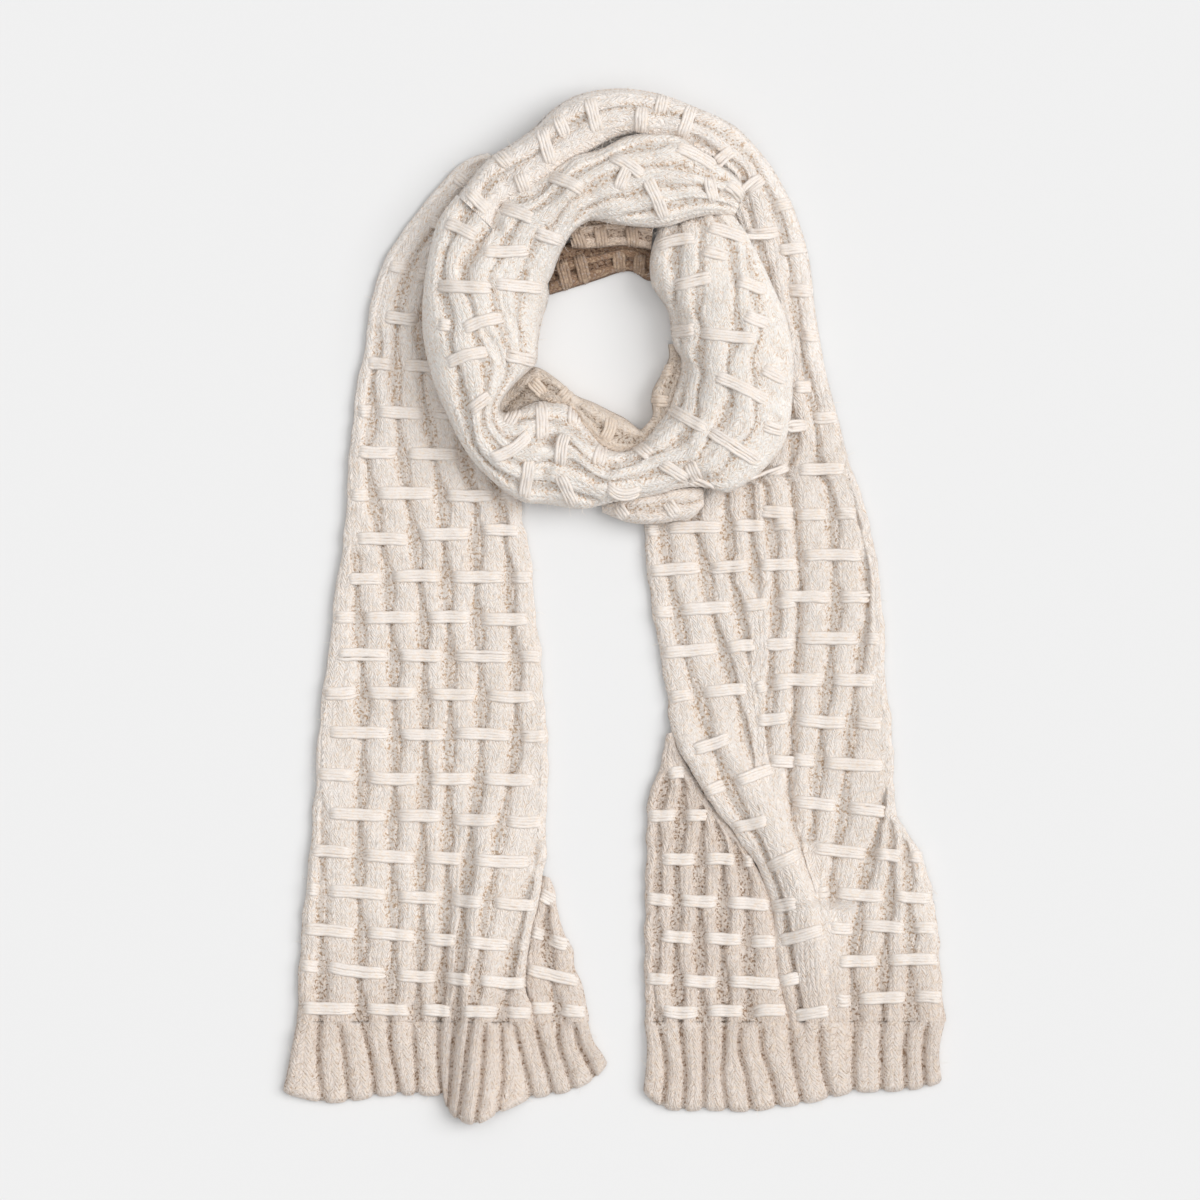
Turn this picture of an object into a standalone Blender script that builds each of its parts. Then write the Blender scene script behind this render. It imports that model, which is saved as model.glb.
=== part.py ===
"""Chunky knitted scarf, wound once into a neck loop with two tails, lying on a flat surface."""
import bpy
import bmesh
import math

# ---- sizes, metres -------------------------------------------------------------------------------
MM = 0.001
SEAM_GAP = 0.3        # mm between neighbouring stretches of cloth
CLOTH_BASE = 4.8      # mm, floor to the bottom of the troughs between ribs
RIB_RELIEF = 4.2      # mm, trough to the crest of a knitted rib
BAR_RELIEF = 1.8      # mm, crest to the top of a float bar
BAR_HALF = 4.0        # mm, half the height of a float bar along the cloth
BAR_FOOT = 5.5        # mm, half the length of the foot a bar rises from
TROUGH_WIDE = 3.0     # mm, half a trough beside the gap between two bars
TROUGH_NARROW = 1.3   # mm, half a trough where a bar pulls its ribs together
RIB_FULL = 9.0        # mm, ribs narrower than this have less relief
LEAST_RIB = 0.8       # mm, the narrowest strip where a rib is gathered in at an edge
EDGE_INSET = 2.4      # mm, the underside stands in from a tail's edge
LOOP_INSET = 6.0      # mm, the underside stands in from the loop's edge
RIB_SWELL = 1.5       # mm, the outermost ribs of the loop swell past a section's sides by this
ROW_PITCH = 27.0      # mm between two rows of float bars
TAIL_END = -283.0     # mm, where the body ends and the hem ribbing starts
BODY_COLOUR = (0.76, 0.68, 0.61)
HEM_COLOUR = (0.68, 0.59, 0.51)
INNER_COLOUR = (0.45, 0.33, 0.25)
WOOL_ROUGHNESS = 0.95

# Rows of float bars down the tails, mm.
LEFT_ROWS = (47.6, 18.4, -8.8, -34.7, -60.5, -87.7, -117.0, -144.2, -171.4, -198.6, -225.8, -250.9, -275.0)
INNER_ROWS = (53, 26, -1, -29, -58, -88, -117, -146, -172, -197, -222, -248, -273)
OUTER_ROWS = (61.9, 33.3, 6.1, -23, -51, -78.9, -107.4, -137.4, -168, -197, -219, -241.4, -267)
UNDER_ROWS = (-115, -142, -172.7, -201.3, -226.4, -255.7, -276)

# ---- tails: y, slant of the row, then x of the left edge, the troughs and the right edge, mm ------
LEFT_TAIL = (
    (75.0, 0, -181.5, -180.2, -178.5, -165.0, -141.0, -118.0, -95.0, -78.0, -66.5, -64.5),
    (61.0, 0, -182.2, -181.0, -179.0, -162.5, -138.5, -116.5, -94.0, -76.5, -63.8, -61.8),
    (40.8, 0, -184.3, -182.0, -178.0, -158.0, -135.0, -115.5, -94.0, -74.0, -60.4, -58.4),
    (20.4, 0, -187.0, -184.5, -175.5, -154.0, -133.0, -115.0, -94.0, -71.0, -57.2, -55.0),
    (0.0, -1, -190.4, -187.0, -175.0, -153.5, -131.0, -113.5, -94.0, -70.5, -56.5, -54.2),
    (-20.4, -1, -192.4, -190.0, -173.5, -151.0, -130.0, -112.5, -93.0, -69.0, -52.8, -51.0),
    (-40.8, -2, -196.5, -193.0, -171.5, -150.0, -129.5, -112.0, -91.5, -67.0, -51.2, -49.4),
    (-61.2, -2, -198.8, -195.5, -171.0, -150.0, -129.5, -111.5, -90.5, -67.0, -50.5, -47.6),
    (-81.6, -3, -200.2, -197.5, -171.0, -149.0, -129.0, -112.0, -90.5, -67.0, -50.0, -45.8),
    (-102.0, -3, -202.0, -198.0, -171.0, -149.0, -129.0, -113.0, -91.0, -68.0, -49.6, -44.9),
    (-122.4, -4, -202.4, -198.0, -172.0, -149.2, -129.2, -113.2, -93.2, -71.5, -50.0, -44.9),
    (-153.0, -6, -205.4, -198.2, -173.2, -151.0, -130.4, -113.5, -97.4, -77.5, -51.6, -46.6),
    (-178.0, -8, -208.4, -198.6, -174.0, -151.0, -131.8, -114.0, -100.0, -81.0, -54.0, -46.8),
    (-204.0, -10, -210.8, -199.2, -173.4, -150.5, -131.2, -114.2, -102.0, -86.4, -60.4, -52.2),
    (-230.0, -12, -213.0, -199.0, -172.0, -150.0, -132.0, -115.0, -104.0, -89.5, -66.0, -57.6),
    (-255.0, -12, -214.6, -199.0, -172.8, -151.6, -133.0, -116.6, -105.6, -94.4, -71.0, -59.8),
    (-283.0, 0, -215.4, -200.0, -172.0, -153.0, -135.0, -119.0, -107.0, -97.5, -77.0, -54.0),
)
LEFT_UNDER = (
    (-184.0, -3, -46.3, -45.6, -44.6),
    (-194.0, -6, -49.0, -44.8, -40.9),
    (-204.0, -8, -51.3, -45.0, -38.8),
    (-214.0, -10, -54.4, -46.0, -36.8),
    (-224.0, -10, -55.8, -46.2, -33.4),
    (-234.6, -10, -57.6, -45.4, -28.4),
    (-245.0, -10, -59.0, -44.0, -26.2),
    (-255.0, -8, -58.9, -42.0, -22.6),
    (-269.0, -4, -56.8, -39.6, -18.9),
    (-283.0, 0, -53.1, -38.0, -17.8),
)
RIGHT_INNER = (
    (82.0, 0, 23.0, 31.0, 54.0, 76.0, 91.5, 103.0, 119.5),
    (61.0, 3, 20.0, 31.0, 54.0, 76.5, 92.0, 105.0, 122.0),
    (41.0, 4, 21.1, 33.5, 58.0, 77.5, 94.0, 107.5, 124.5),
    (20.4, 5, 23.2, 37.0, 62.0, 79.5, 96.0, 109.0, 126.0),
    (0.0, 7, 25.8, 41.0, 65.0, 84.0, 98.0, 109.0, 125.0),
    (-20.4, 8, 29.0, 45.0, 71.0, 89.0, 99.5, 108.0, 124.0),
    (-41.0, 9, 32.2, 50.0, 76.5, 92.0, 99.8, 106.0, 123.0),
    (-61.2, 10, 35.8, 56.5, 83.0, 94.5, 99.5, 104.5, 122.0),
    (-82.0, 11, 38.4, 62.5, 89.0, 96.5, 100.5, 103.5, 121.0),
    (-102.0, 12, 46.0, 69.5, 93.5, 99.0, 101.8, 104.8, 120.0),
    (-122.0, 12, 58.0, 77.5, 96.6, 102.0, 104.8, 107.6, 118.5),
    (-142.0, 12, 71.0, 85.0, 98.6, 104.0, 107.0, 110.4, 120.5),
    (-162.0, 11, 87.0, 92.0, 102.4, 108.6, 112.6, 116.6, 126.0),
    (-182.0, 9, 99.0, 100.8, 109.4, 115.2, 119.2, 123.0, 132.0),
    (-204.0, 8, 106.5, 108.2, 115.6, 121.0, 125.0, 129.4, 139.0),
    (-240.0, 5, 110.5, 112.4, 120.8, 126.6, 131.0, 135.6, 144.5),
    (-262.0, 3, 114.0, 116.0, 124.2, 130.0, 134.4, 138.6, 147.5),
    (-283.0, 0, 118.5, 120.4, 127.2, 132.0, 136.0, 140.0, 149.5),
)
RIGHT_UNDER = (
    (-98.0, 3, 33.8, 36.6, 38.9, 41.2, 43.0, 43.5),
    (-112.0, 4, 30.6, 36.0, 44.0, 48.2, 50.2, 51.0),
    (-122.4, 5, 26.6, 34.2, 47.0, 53.8, 56.0, 57.1),
    (-132.6, 4, 23.2, 31.2, 46.2, 58.6, 61.8, 63.2),
    (-142.8, 2, 22.4, 30.2, 45.4, 60.6, 67.4, 70.5),
    (-162.0, -2, 22.6, 30.0, 43.4, 59.0, 74.6, 86.0),
    (-182.0, -3, 21.1, 29.2, 42.0, 58.0, 74.0, 98.0),
    (-204.0, -4, 21.1, 29.0, 42.0, 58.0, 74.0, 105.5),
    (-240.0, -5, 21.1, 28.2, 42.0, 58.0, 73.5, 109.5),
    (-262.0, -3, 21.1, 27.6, 43.2, 59.2, 74.2, 113.0),
    (-283.0, 0, 20.6, 29.5, 45.0, 60.5, 75.0, 117.5),
)
RIGHT_OUTER = (
    (82.0, 0, 120.3, 145.0, 160.8, 163.2, 164.4, 165.4),
    (71.4, 1, 121.8, 147.0, 163.0, 166.4, 167.8, 169.2),
    (61.2, 2, 122.8, 148.0, 165.2, 168.8, 170.2, 171.6),
    (40.8, 2, 125.3, 149.0, 169.8, 173.8, 175.2, 176.6),
    (20.4, 1, 126.8, 149.5, 172.0, 176.8, 178.4, 180.0),
    (0.0, 0, 125.8, 150.0, 172.0, 178.2, 180.0, 181.8),
    (-20.4, -1, 124.8, 148.0, 170.0, 179.6, 181.8, 184.0),
    (-40.8, -2, 123.8, 146.0, 166.0, 180.2, 182.2, 184.0),
    (-61.2, -3, 122.8, 143.5, 163.0, 181.2, 183.4, 185.4),
    (-81.6, -4, 121.8, 141.0, 161.0, 181.6, 185.4, 188.4),
    (-102.0, -5, 120.8, 139.0, 159.0, 180.2, 186.6, 189.7),
    (-122.4, -6, 119.3, 137.0, 156.5, 178.6, 187.2, 190.4),
    (-142.8, -8, 121.3, 136.0, 155.0, 178.0, 187.6, 192.0),
    (-153.0, -8, 123.8, 134.4, 153.0, 176.6, 188.0, 198.4),
    (-163.0, -8, 127.1, 132.6, 151.0, 175.0, 188.4, 204.4),
    (-173.4, -7, 130.1, 132.4, 149.4, 173.0, 188.4, 211.0),
    (-183.6, -5, 133.1, 134.6, 148.0, 170.6, 188.0, 213.6),
    (-204.0, -3, 139.8, 140.8, 146.6, 167.4, 186.2, 217.6),
    (-224.0, 0, 143.4, 144.2, 146.4, 164.0, 184.4, 220.4),
    (-244.8, 2, 145.8, 146.6, 148.6, 161.6, 183.0, 222.0),
    (-262.0, 2, 148.3, 149.2, 151.2, 162.0, 182.2, 223.2),
    (-283.0, 0, 150.3, 151.4, 153.6, 163.0, 182.5, 224.9),
)

# ---- hems: x at the top, then x, y a third down, two thirds down and at the end, mm ---------------
LEFT_HEM = (
    (-215.4, -218.6, -299, -222.0, -317, -225.0, -330.0),
    (-200.0, -201.0, -300, -200.0, -320, -198.0, -337.0),
    (-187.0, -184.0, -300, -182.0, -319, -180.0, -336.0),
    (-172.0, -167.0, -300, -164.2, -317, -162.5, -332.6),
    (-153.0, -152.0, -300, -148.4, -317, -146.0, -331.2),
    (-137.0, -135.4, -300, -134.4, -317, -134.0, -331.4),
    (-119.0, -119.4, -300, -118.6, -317, -116.4, -332.0),
    (-107.6, -109.8, -302, -111.4, -324, -113.2, -341.5),
    (-97.5, -100.0, -302, -102.6, -326, -106.0, -348.6),
    (-87.0, -88.6, -302, -90.4, -328, -94.0, -351.6),
    (-77.0, -76.0, -301, -75.6, -324, -79.0, -344.0),
    (-68.0, -64.0, -300, -59.4, -318, -56.0, -333.6),
    (-54.0, -50.0, -300, -45.6, -316, -42.0, -331.4),
    (-38.0, -37.6, -298, -32.6, -314, -28.0, -328.6),
    (-27.0, -24.0, -298, -18.4, -310, -13.0, -320.6),
    (-17.8, -14.0, -296, -8.0, -305, -4.6, -311.0),
)
RIGHT_HEM = (
    (20.6, 22.6, -300, 21.6, -317, 20.0, -330.0),
    (29.5, 34.0, -301, 35.4, -319, 33.0, -340.4),
    (45.0, 46.6, -301, 48.4, -320, 47.0, -342.4),
    (60.5, 61.0, -301, 61.0, -320, 61.0, -341.6),
    (75.0, 74.8, -301, 73.6, -320, 77.0, -342.2),
    (86.0, 85.0, -301, 89.8, -321, 93.4, -342.8),
    (100.0, 100.4, -301, 106.6, -320, 111.0, -339.8),
    (119.0, 120.6, -301, 123.6, -319, 127.6, -338.0),
    (140.0, 140.0, -301, 142.4, -318, 147.0, -333.4),
    (163.0, 163.2, -300, 162.6, -316, 163.0, -329.4),
    (182.5, 181.4, -299, 182.0, -315, 182.0, -329.2),
    (199.5, 197.6, -298, 197.8, -313, 198.4, -328.4),
    (213.0, 210.6, -298, 210.4, -312, 211.6, -326.4),
    (224.9, 221.8, -297, 221.0, -308, 222.6, -322.6),
)

# ---- loop: outer edge x, y, inner edge x, y, underside outer, inner, crown, mm ---------------------
LEFT_SIDE = (
    (-181.5, 75.9, -65.0, 75.9, 0, 0, 4.8),
    (-180.2, 100, -78, 98, 0, 0, 4.8),
    (-177, 125, -82, 120, 0, 0, 4.8),
    (-174.6, 150, -82, 142, 0, 0, 4.8),
    (-169, 172, -82, 164, 0, 0, 4.8),
    (-166.4, 196, -84, 186, 0, 0, 4.8),
    (-163.4, 214, -86, 202, 0, 0, 4.8),
    (-157.6, 235, -90, 217, 0, 0, 4.8),
    (-146, 250, -90, 232, 0, 0, 4.8),
    (-132, 268, -80, 245, 0, 0, 4.8),
    (-118, 285, -73, 259, 0, 0, 4.8),
    (-104.2, 298.6, -69, 269, 0, 0, 4.8),
    (-92.8, 306.4, -66, 280, 0, 0, 4.8),
    (-83.6, 311.4, -65, 290, 0, 0, 4.8),
)
RIGHT_SIDE = (
    (165.4, 82.9, 88, 82.9, 0, 0, 4.8),
    (158.4, 102, 88, 100, 0, 0, 4.8),
    (151, 133, 90, 130, 0, 0, 4.8),
    (145.4, 155, 90, 152, 0, 0, 4.8),
    (140.4, 184, 89, 180, 0, 0, 4.8),
    (137.4, 205, 87, 200, 0, 0, 4.8),
    (134.8, 230, 84, 220, 0, 0, 4.8),
    (129.6, 252, 80, 240, 0, 0, 4.8),
    (121, 275, 77, 257, 0, 0, 5.6),
    (109.6, 296, 78.4, 270, 0, 0, 11),
    (97.4, 311.2, 81.4, 287.8, 0, 0, 19),
)
OUTER_ARC = (
    (97, 312, 81, 288.6, 0, 0, 19),
    (81, 326.8, 62, 302.6, 0, 0, 27),
    (56.6, 338.4, 44, 312.4, 0, 0, 30),
    (32, 347.6, 28, 317.6, 0, 0, 32),
    (5, 351.6, 8, 317.8, 0, 0, 33),
    (-24, 347.4, -12, 308.8, 0, 0, 34),
    (-42, 337.2, -27, 300.2, 0, 0, 34),
    (-56, 323.8, -42, 290.6, 1, 1, 34),
    (-72, 312.4, -56.6, 282.2, 11.4, 11.4, 34),
    (-88, 302, -70.8, 275, 11.4, 11.4, 34),
    (-98, 290, -79, 266.4, 11.4, 11.4, 34),
    (-105.8, 279.6, -82, 256.2, 11.4, 11.4, 35),
)
INNER_FOLD = (
    (80.4, 285, 76, 269.6, 19, 19, 27),
    (77, 291.4, 65.6, 267.6, 19, 19, 33),
    (61.6, 302.6, 50.6, 260.8, 19, 19, 39),
    (43.4, 311.2, 34.4, 255, 19, 19, 43),
    (27.4, 316.6, 16, 255, 19.4, 19.4, 44),
    (8, 316.4, -2, 258, 19.4, 19.4, 44),
    (-11.6, 307.4, -16, 260, 19.4, 19.4, 44),
    (-26.6, 299.2, -27, 253, 19.4, 19.4, 44),
    (-41.6, 289, -34, 241, 16, 14, 43),
    (-55.6, 279.8, -38.4, 231, 13, 11.6, 42),
    (-69, 271.8, -41, 223, 11.6, 11.6, 40),
    (-81, 255.2, -44, 217.4, 11.4, 11.4, 38),
)
LEFT_LIMB = (
    (-106.2, 278.6, -44.2, 216, 11.4, 11.4, 39),
    (-118.4, 262, -43.2, 210, 11.4, 8, 41),
    (-124, 243, -44.4, 203, 11.4, 3, 43),
    (-128, 222, -46.8, 195, 11.4, 1, 44),
    (-130, 200, -49, 186, 11.4, 1, 45),
    (-129.4, 182, -50.4, 175, 11.4, 1, 46),
    (-126, 164, -51.6, 164, 11.4, 1, 46),
    (-121, 147, -58.4, 157.4, 11.4, 4, 45),
    (-113.6, 130, -67, 149.4, 11.4, 11.4, 44),
    (-105.4, 113, -74.4, 140, 11.4, 11.4, 42),
    (-96, 98.4, -76.6, 133.4, 11.4, 11.4, 41),
    (-85, 86.6, -72.4, 131.6, 11.4, 11.4, 40),
    (-72, 76, -65, 133.4, 11.4, 11.4, 40),
)
FRONT_BAND = (
    (-71.4, 75.6, -64.4, 133.5, 11.4, 11.4, 40),
    (-60, 69.6, -54.6, 138.2, 11.4, 8, 40),
    (-45, 68.4, -43, 139.4, 1, 1, 40),
    (-29, 65.8, -31, 137.6, 1, 1, 40),
    (-15, 66, -19, 123, 1, 1, 40),
    (0, 70.6, -8, 110, 6, 1, 39),
    (15, 73, 4, 106, 11.4, 1, 38),
    (30, 76, 14, 109, 11.4, 4, 38),
    (46, 79.4, 22, 116, 11.4, 8, 39),
    (62, 80, 29, 125, 11.4, 8, 40),
)
RIGHT_LIMB = (
    (62.4, 80, 29.4, 125.6, 11.4, 8, 40),
    (76, 76.4, 35.4, 134, 11.4, 6, 42),
    (92, 84, 39.8, 145, 11.4, 4, 43),
    (105.6, 96, 43, 156, 11.4, 2, 44),
    (115.6, 110, 44.6, 167, 11.4, 1, 45),
    (120, 129, 39.6, 176, 11.4, 1, 45),
    (121.2, 150, 37.4, 187, 11.4, 1, 45),
    (121.4, 172, 36.2, 196, 11.4, 1, 44),
    (116, 196, 33.4, 203, 11.4, 1, 43),
    (108, 215, 28.4, 210, 11.4, 4, 41),
    (100, 232, 24, 218, 11.4, 11.4, 38),
    (90, 249.6, 23, 232, 11.4, 11.4, 34),
    (78, 263, 26, 243, 13, 12, 29),
    (70.6, 267.4, 28.6, 252, 12.6, 12.6, 22),
    (74, 273, 28, 258, 12, 12, 12.9),
)
INNER_LAYER = (
    (-69, 128, -80, 142, 0, 0, 4.8),
    (-61, 133.6, -72, 150, 0, 0, 4.8),
    (-54.4, 140.8, -63, 153.6, 0, 0, 13),
    (-46, 141, -52.4, 159.6, 0, 0, 18),
    (-36, 140.4, -39.4, 155, 0, 0, 19),
    (-28.4, 139, -27, 144.6, 0, 0, 19),
    (-18.4, 124.6, -14, 139, 0, 0, 21),
    (-8, 111.6, -3.6, 133.8, 0, 0, 21),
    (3.8, 107.2, 8, 128, 0, 0, 21),
    (14, 110.4, 17, 121, 0, 0, 20),
    (21.4, 117.2, 20, 122, 0, 0, 19),
    (28.4, 126.4, 25, 128, 0, 0, 19),
    (34.4, 134.8, 24.6, 135.8, 0, 0, 19),
    (38.4, 145.8, 24.8, 145.4, 0, 0, 18),
    (41.4, 156.8, 31, 157, 0, 0, 16),
    (43, 167, 36, 168, 0, 0, 12),
    (41.4, 177.4, 35.6, 177, 0, 0, 7),
)
FRONT_FLAP = (
    (-8, 63.6, -8.6, 65.4, 1, 1, 7),
    (6, 57.2, 5.4, 70.6, 6, 6, 18),
    (18, 55.2, 17, 72.6, 11.4, 11.4, 22),
    (30, 55.6, 29.6, 75, 11.4, 11.4, 23),
    (42, 57.2, 41.4, 77.6, 11.4, 11.4, 23),
    (53, 59.4, 52, 78.4, 11.4, 11.4, 22),
    (61, 67.4, 60.6, 77.2, 11.4, 11.4, 18),
)
NECK_LOW = (
    (-46, 243, -43.4, 209.6, 0, 0, 4.8),
    (-24, 247, -22, 216.2, 0, 0, 4.8),
    (-8, 248, -8, 220.8, 0, 0, 4.8),
    (6, 248, 5, 225.2, 0, 0, 4.8),
    (16, 246, 13.4, 225, 0, 0, 4.8),
    (24, 240, 21, 217, 0, 0, 4.8),
)
NECK_MID = (
    (-33, 262, -28, 241, 11.4, 11.4, 13.4),
    (-24, 266, -20, 240.6, 11.4, 11.4, 13.6),
    (-10, 268, -8, 241.4, 11.4, 11.4, 13.6),
    (8, 268, 8, 242.4, 11.4, 11.4, 13.6),
    (27, 262, 25, 239.6, 11.4, 11.4, 13.4),
)

# Where the troughs lie across each stretch of the loop, as shares of its width.
SIDE_LINES = (0.15, 0.38, 0.61)
ARC_LINES = (0.23, 0.52, 0.76)
FOLD_LINES = (0.2, 0.42, 0.64, 0.84)
LIMB_LINES = (0.17, 0.36, 0.57, 0.78)
RIGHT_LIMB_LINES = (0.2, 0.42, 0.67, 0.86)
LAYER_LINES = (0.5,)
FLAP_LINES = (0.5,)
NECK_LINES = (0.3, 0.65)

# ---- folds: x, y, height along a crest; then the reach to its left and right, mm ------------------
LEFT_RIDGE = ((-84, -120, 0), (-86, -160, 6), (-91, -200, 9), (-97, -250, 10), (-96, -283, 11), (-94, -352, 11))
LEFT_RIDGE_REACH = (44, 23)
LEFT_LIP = ((-46, -165, 0), (-53, -200, 5), (-57, -215, 6), (-61, -245, 6), (-58, -283, 3))
LEFT_LIP_REACH = (15, 18)
RIGHT_RIDGE = ((60, -60, 0), (74, -95, 5), (92, -125, 8), (108, -150, 10), (122, -185, 11), (133, -215, 9),
               (139, -245, 6), (142, -283, 3), (143, -320, 0))
RIGHT_RIDGE_REACH = (20, 32)
RIGHT_LIP = ((37, -70, 0), (46, -98, 7), (59, -122, 8), (76, -148, 6), (93, -168, 3), (106, -200, 0))
RIGHT_LIP_REACH = (22, 10)
RIGHT_FLARE = ((180, -125, 0), (191, -165, 3), (200, -200, 4), (206, -250, 0))
RIGHT_FLARE_REACH = (20, 20)


# ---- forms ----------------------------------------------------------------------------------------
def along(table, at):
    """The table's row at a place along its first column, on a smooth curve through its rows."""
    last = len(table) - 2
    i = 0
    while i < last and (table[i + 1][0] - at) * (table[-1][0] - table[0][0]) < 0:
        i += 1
    p1, p2 = table[i], table[i + 1]
    p0 = table[max(i - 1, 0)]
    p3 = table[min(i + 2, len(table) - 1)]
    span = p2[0] - p1[0]
    t = (at - p1[0]) / span
    out = [at]
    for q0, q1, q2, q3 in zip(p0[1:], p1[1:], p2[1:], p3[1:]):
        m1 = (q2 - q0) / (p2[0] - p0[0]) * span
        m2 = (q3 - q1) / (p3[0] - p1[0]) * span
        t2, t3 = t * t, t * t * t
        out.append((2 * t3 - 3 * t2 + 1) * q1 + (t3 - 2 * t2 + t) * m1 + (3 * t2 - 2 * t3) * q2 + (t3 - t2) * m2)
    return out


def with_length(stations):
    """Stations with the distance along the middle of the cloth put in front of each."""
    out = []
    run = 0.0
    before = None
    for row in stations:
        middle = ((row[0] + row[2]) / 2, (row[1] + row[3]) / 2)
        if before:
            run += math.dist(middle, before)
        before = middle
        out.append((run,) + tuple(row))
    return out


def fold_lift(x, y, crest, reach):
    """Height a fold adds at a point: a rounded ridge that reaches out to each side of its crest."""
    best = None
    for (x0, y0, h0), (x1, y1, h1) in zip(crest, crest[1:]):
        dx, dy = x1 - x0, y1 - y0
        t = ((x - x0) * dx + (y - y0) * dy) / (dx * dx + dy * dy)
        t = min(max(t, 0.0), 1.0)
        px, py = x - x0 - t * dx, y - y0 - t * dy
        far = math.hypot(px, py)
        if best is None or far < best[0]:
            best = (far, h0 + (h1 - h0) * t, dx * py - dy * px)
    far, high, side = best
    share = far / (reach[0] if side > 0 else reach[1])
    return high * math.cos(share * math.pi / 2) ** 2 if share < 1 else 0.0


def row_phase(rows, at):
    """Place along the rows of bars, counted in rows."""
    step = rows[1] - rows[0]
    if (at - rows[0]) * step <= 0:
        return (at - rows[0]) / step
    for i in range(len(rows) - 1):
        if (at - rows[i + 1]) * step <= 0:
            return i + (at - rows[i]) / (rows[i + 1] - rows[i])
    return len(rows) - 1 + (at - rows[-1]) / (rows[-1] - rows[-2])


def ring_places(start, end, rows):
    """Where a stretch gets its sections: its ends, and the foot and top of each bar's two sides."""
    low, high = min(start, end), max(start, end)
    places = [start, end]
    for row in rows:
        for off in (-BAR_FOOT, -BAR_HALF, BAR_HALF, BAR_FOOT):
            if low + 1.2 < row + off < high - 1.2:
                places.append(row + off)
    return sorted(set(places), reverse=start > end)


def dome(f, width, side, crown, power):
    """Height over the side and outward normal of a rounded section at a share of its width."""
    u = min(abs(2 * f - 1), 0.985)
    rise = crown - side
    z = rise * (1 - u ** power) ** (1 / power)
    slope = -rise * u ** (power - 1) * (1 - u ** power) ** (1 / power - 1) * 2 / width
    slope *= 1 if f > 0.5 else -1
    size = math.hypot(slope, 1)
    return z, -slope / size, 1 / size


def ring(edge_a, edge_b, shares, under, crown, phase, power, inset, side_share, folds, fade=None, step=None):
    """One section of cloth: the underside's ends, the sides, and the ribs with their troughs and bars."""
    ax, ay = edge_a
    bx, by = edge_b
    full_width = math.hypot(bx - ax, by - ay)
    ex, ey = (bx - ax) / full_width, (by - ay) / full_width
    swell = min(RIB_SWELL, full_width * 0.08) if power < 3 else 0.0
    ax, ay = ax + ex * swell, ay + ey * swell
    width = full_width - 2 * swell
    side_a = under[0] + (crown - under[0]) * side_share
    side_b = under[1] + (crown - under[1]) * side_share
    last = len(shares) + 1
    spots = [0.0] + [share * full_width - swell for share in shares] + [width]
    for k in range(1, last):
        spots[k] = max(spots[k], spots[k - 1] + LEAST_RIB)
    for k in range(last - 1, 0, -1):
        spots[k] = min(spots[k], spots[k + 1] - LEAST_RIB)
    near = phase - math.floor(phase)
    on_bar = min(near, 1 - near) < 0.5 * (BAR_HALF + BAR_FOOT) / ROW_PITCH
    row = round(phase)
    closed = [0.0] + (list(fade) if fade else [0.0] * len(shares)) + [0.0]
    points = []

    def put(reach, relief, z=None):
        f = reach / width
        side = side_a + (side_b - side_a) * f
        if z is None:
            rise, nx, nz = dome(f, width, side, crown, power)
            z = side + rise + relief * nz
            reach += relief * nx
        x, y = ax + ex * reach, ay + ey * reach
        lift = sum(fold_lift(x, y, crest, span) for crest, span in folds)
        points.append((x, y, z + lift))

    def relief_of(k):
        """Relief of the rib between two troughs; a narrow one has less unless a trough beside it has closed."""
        share = min((spots[k + 1] - spots[k]) / RIB_FULL, 1.0)
        share = max(share, closed[k], closed[k + 1])
        return share * (RIB_RELIEF + (BAR_RELIEF if on_bar else 0.0))

    inset = min(inset, width * 0.3)
    points.append((ax + ex * inset, ay + ey * inset, under[0]))
    put(0.0, 0.0, side_a)
    for k in range(last + 1):
        gap = 0.5 - 0.5 * math.cos(math.pi * (phase + k))
        half = TROUGH_NARROW + (TROUGH_WIDE - TROUGH_NARROW) * gap
        covered = on_bar and (k + row) % 2 == 0
        if k:
            put(spots[k] - min(half, (spots[k] - spots[k - 1]) * 0.3), relief_of(k - 1))
        if 0 < k < last:
            least = min(relief_of(k - 1), relief_of(k))
            put(spots[k], least * (1.0 if covered else closed[k]))
        if k < last:
            put(spots[k] + min(half, (spots[k + 1] - spots[k]) * 0.3), relief_of(k))
    put(width, 0.0, side_b)
    points.append((ax + ex * (width - inset), ay + ey * (width - inset), under[1]))
    if step:
        points.append((ax + ex * width * step, ay + ey * width * step, under[0]))
    return points


def skin(name, rings, colour, cross=None):
    """A closed body over a row of sections that have the same number of points."""
    mesh = bpy.data.meshes.new(name)
    form = bmesh.new()
    rows = [[form.verts.new((x * MM, y * MM, z * MM)) for x, y, z in points] for points in rings]
    count = len(rows[0])
    for low, high in zip(rows, rows[1:]):
        for i in range(count):
            j = (i + 1) % count
            form.faces.new((low[i], low[j], high[j], high[i]))
    if cross:
        for face in cross:
            form.faces.new([rows[0][i] for i in reversed(face)])
            form.faces.new([rows[-1][i] for i in face])
    else:
        form.faces.new(list(reversed(rows[0])))
        form.faces.new(rows[-1])
    bmesh.ops.recalc_face_normals(form, faces=form.faces)
    bmesh.ops.triangulate(form, faces=form.faces, quad_method="SHORT_EDGE", ngon_method="EAR_CLIP")
    form.to_mesh(mesh)
    form.free()
    mesh.materials.append(wool(name + "_wool", colour))
    body = bpy.data.objects.new(name, mesh)
    scarf.objects.link(body)
    return body


def wool(name, colour):
    """A matt wool material."""
    material = bpy.data.materials.new(name)
    material.use_nodes = True
    shader = material.node_tree.nodes["Principled BSDF"]
    shader.inputs["Base Color"].default_value = (*colour, 1.0)
    shader.inputs["Roughness"].default_value = WOOL_ROUGHNESS
    shader.inputs["Metallic"].default_value = 0.0
    return material


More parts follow.
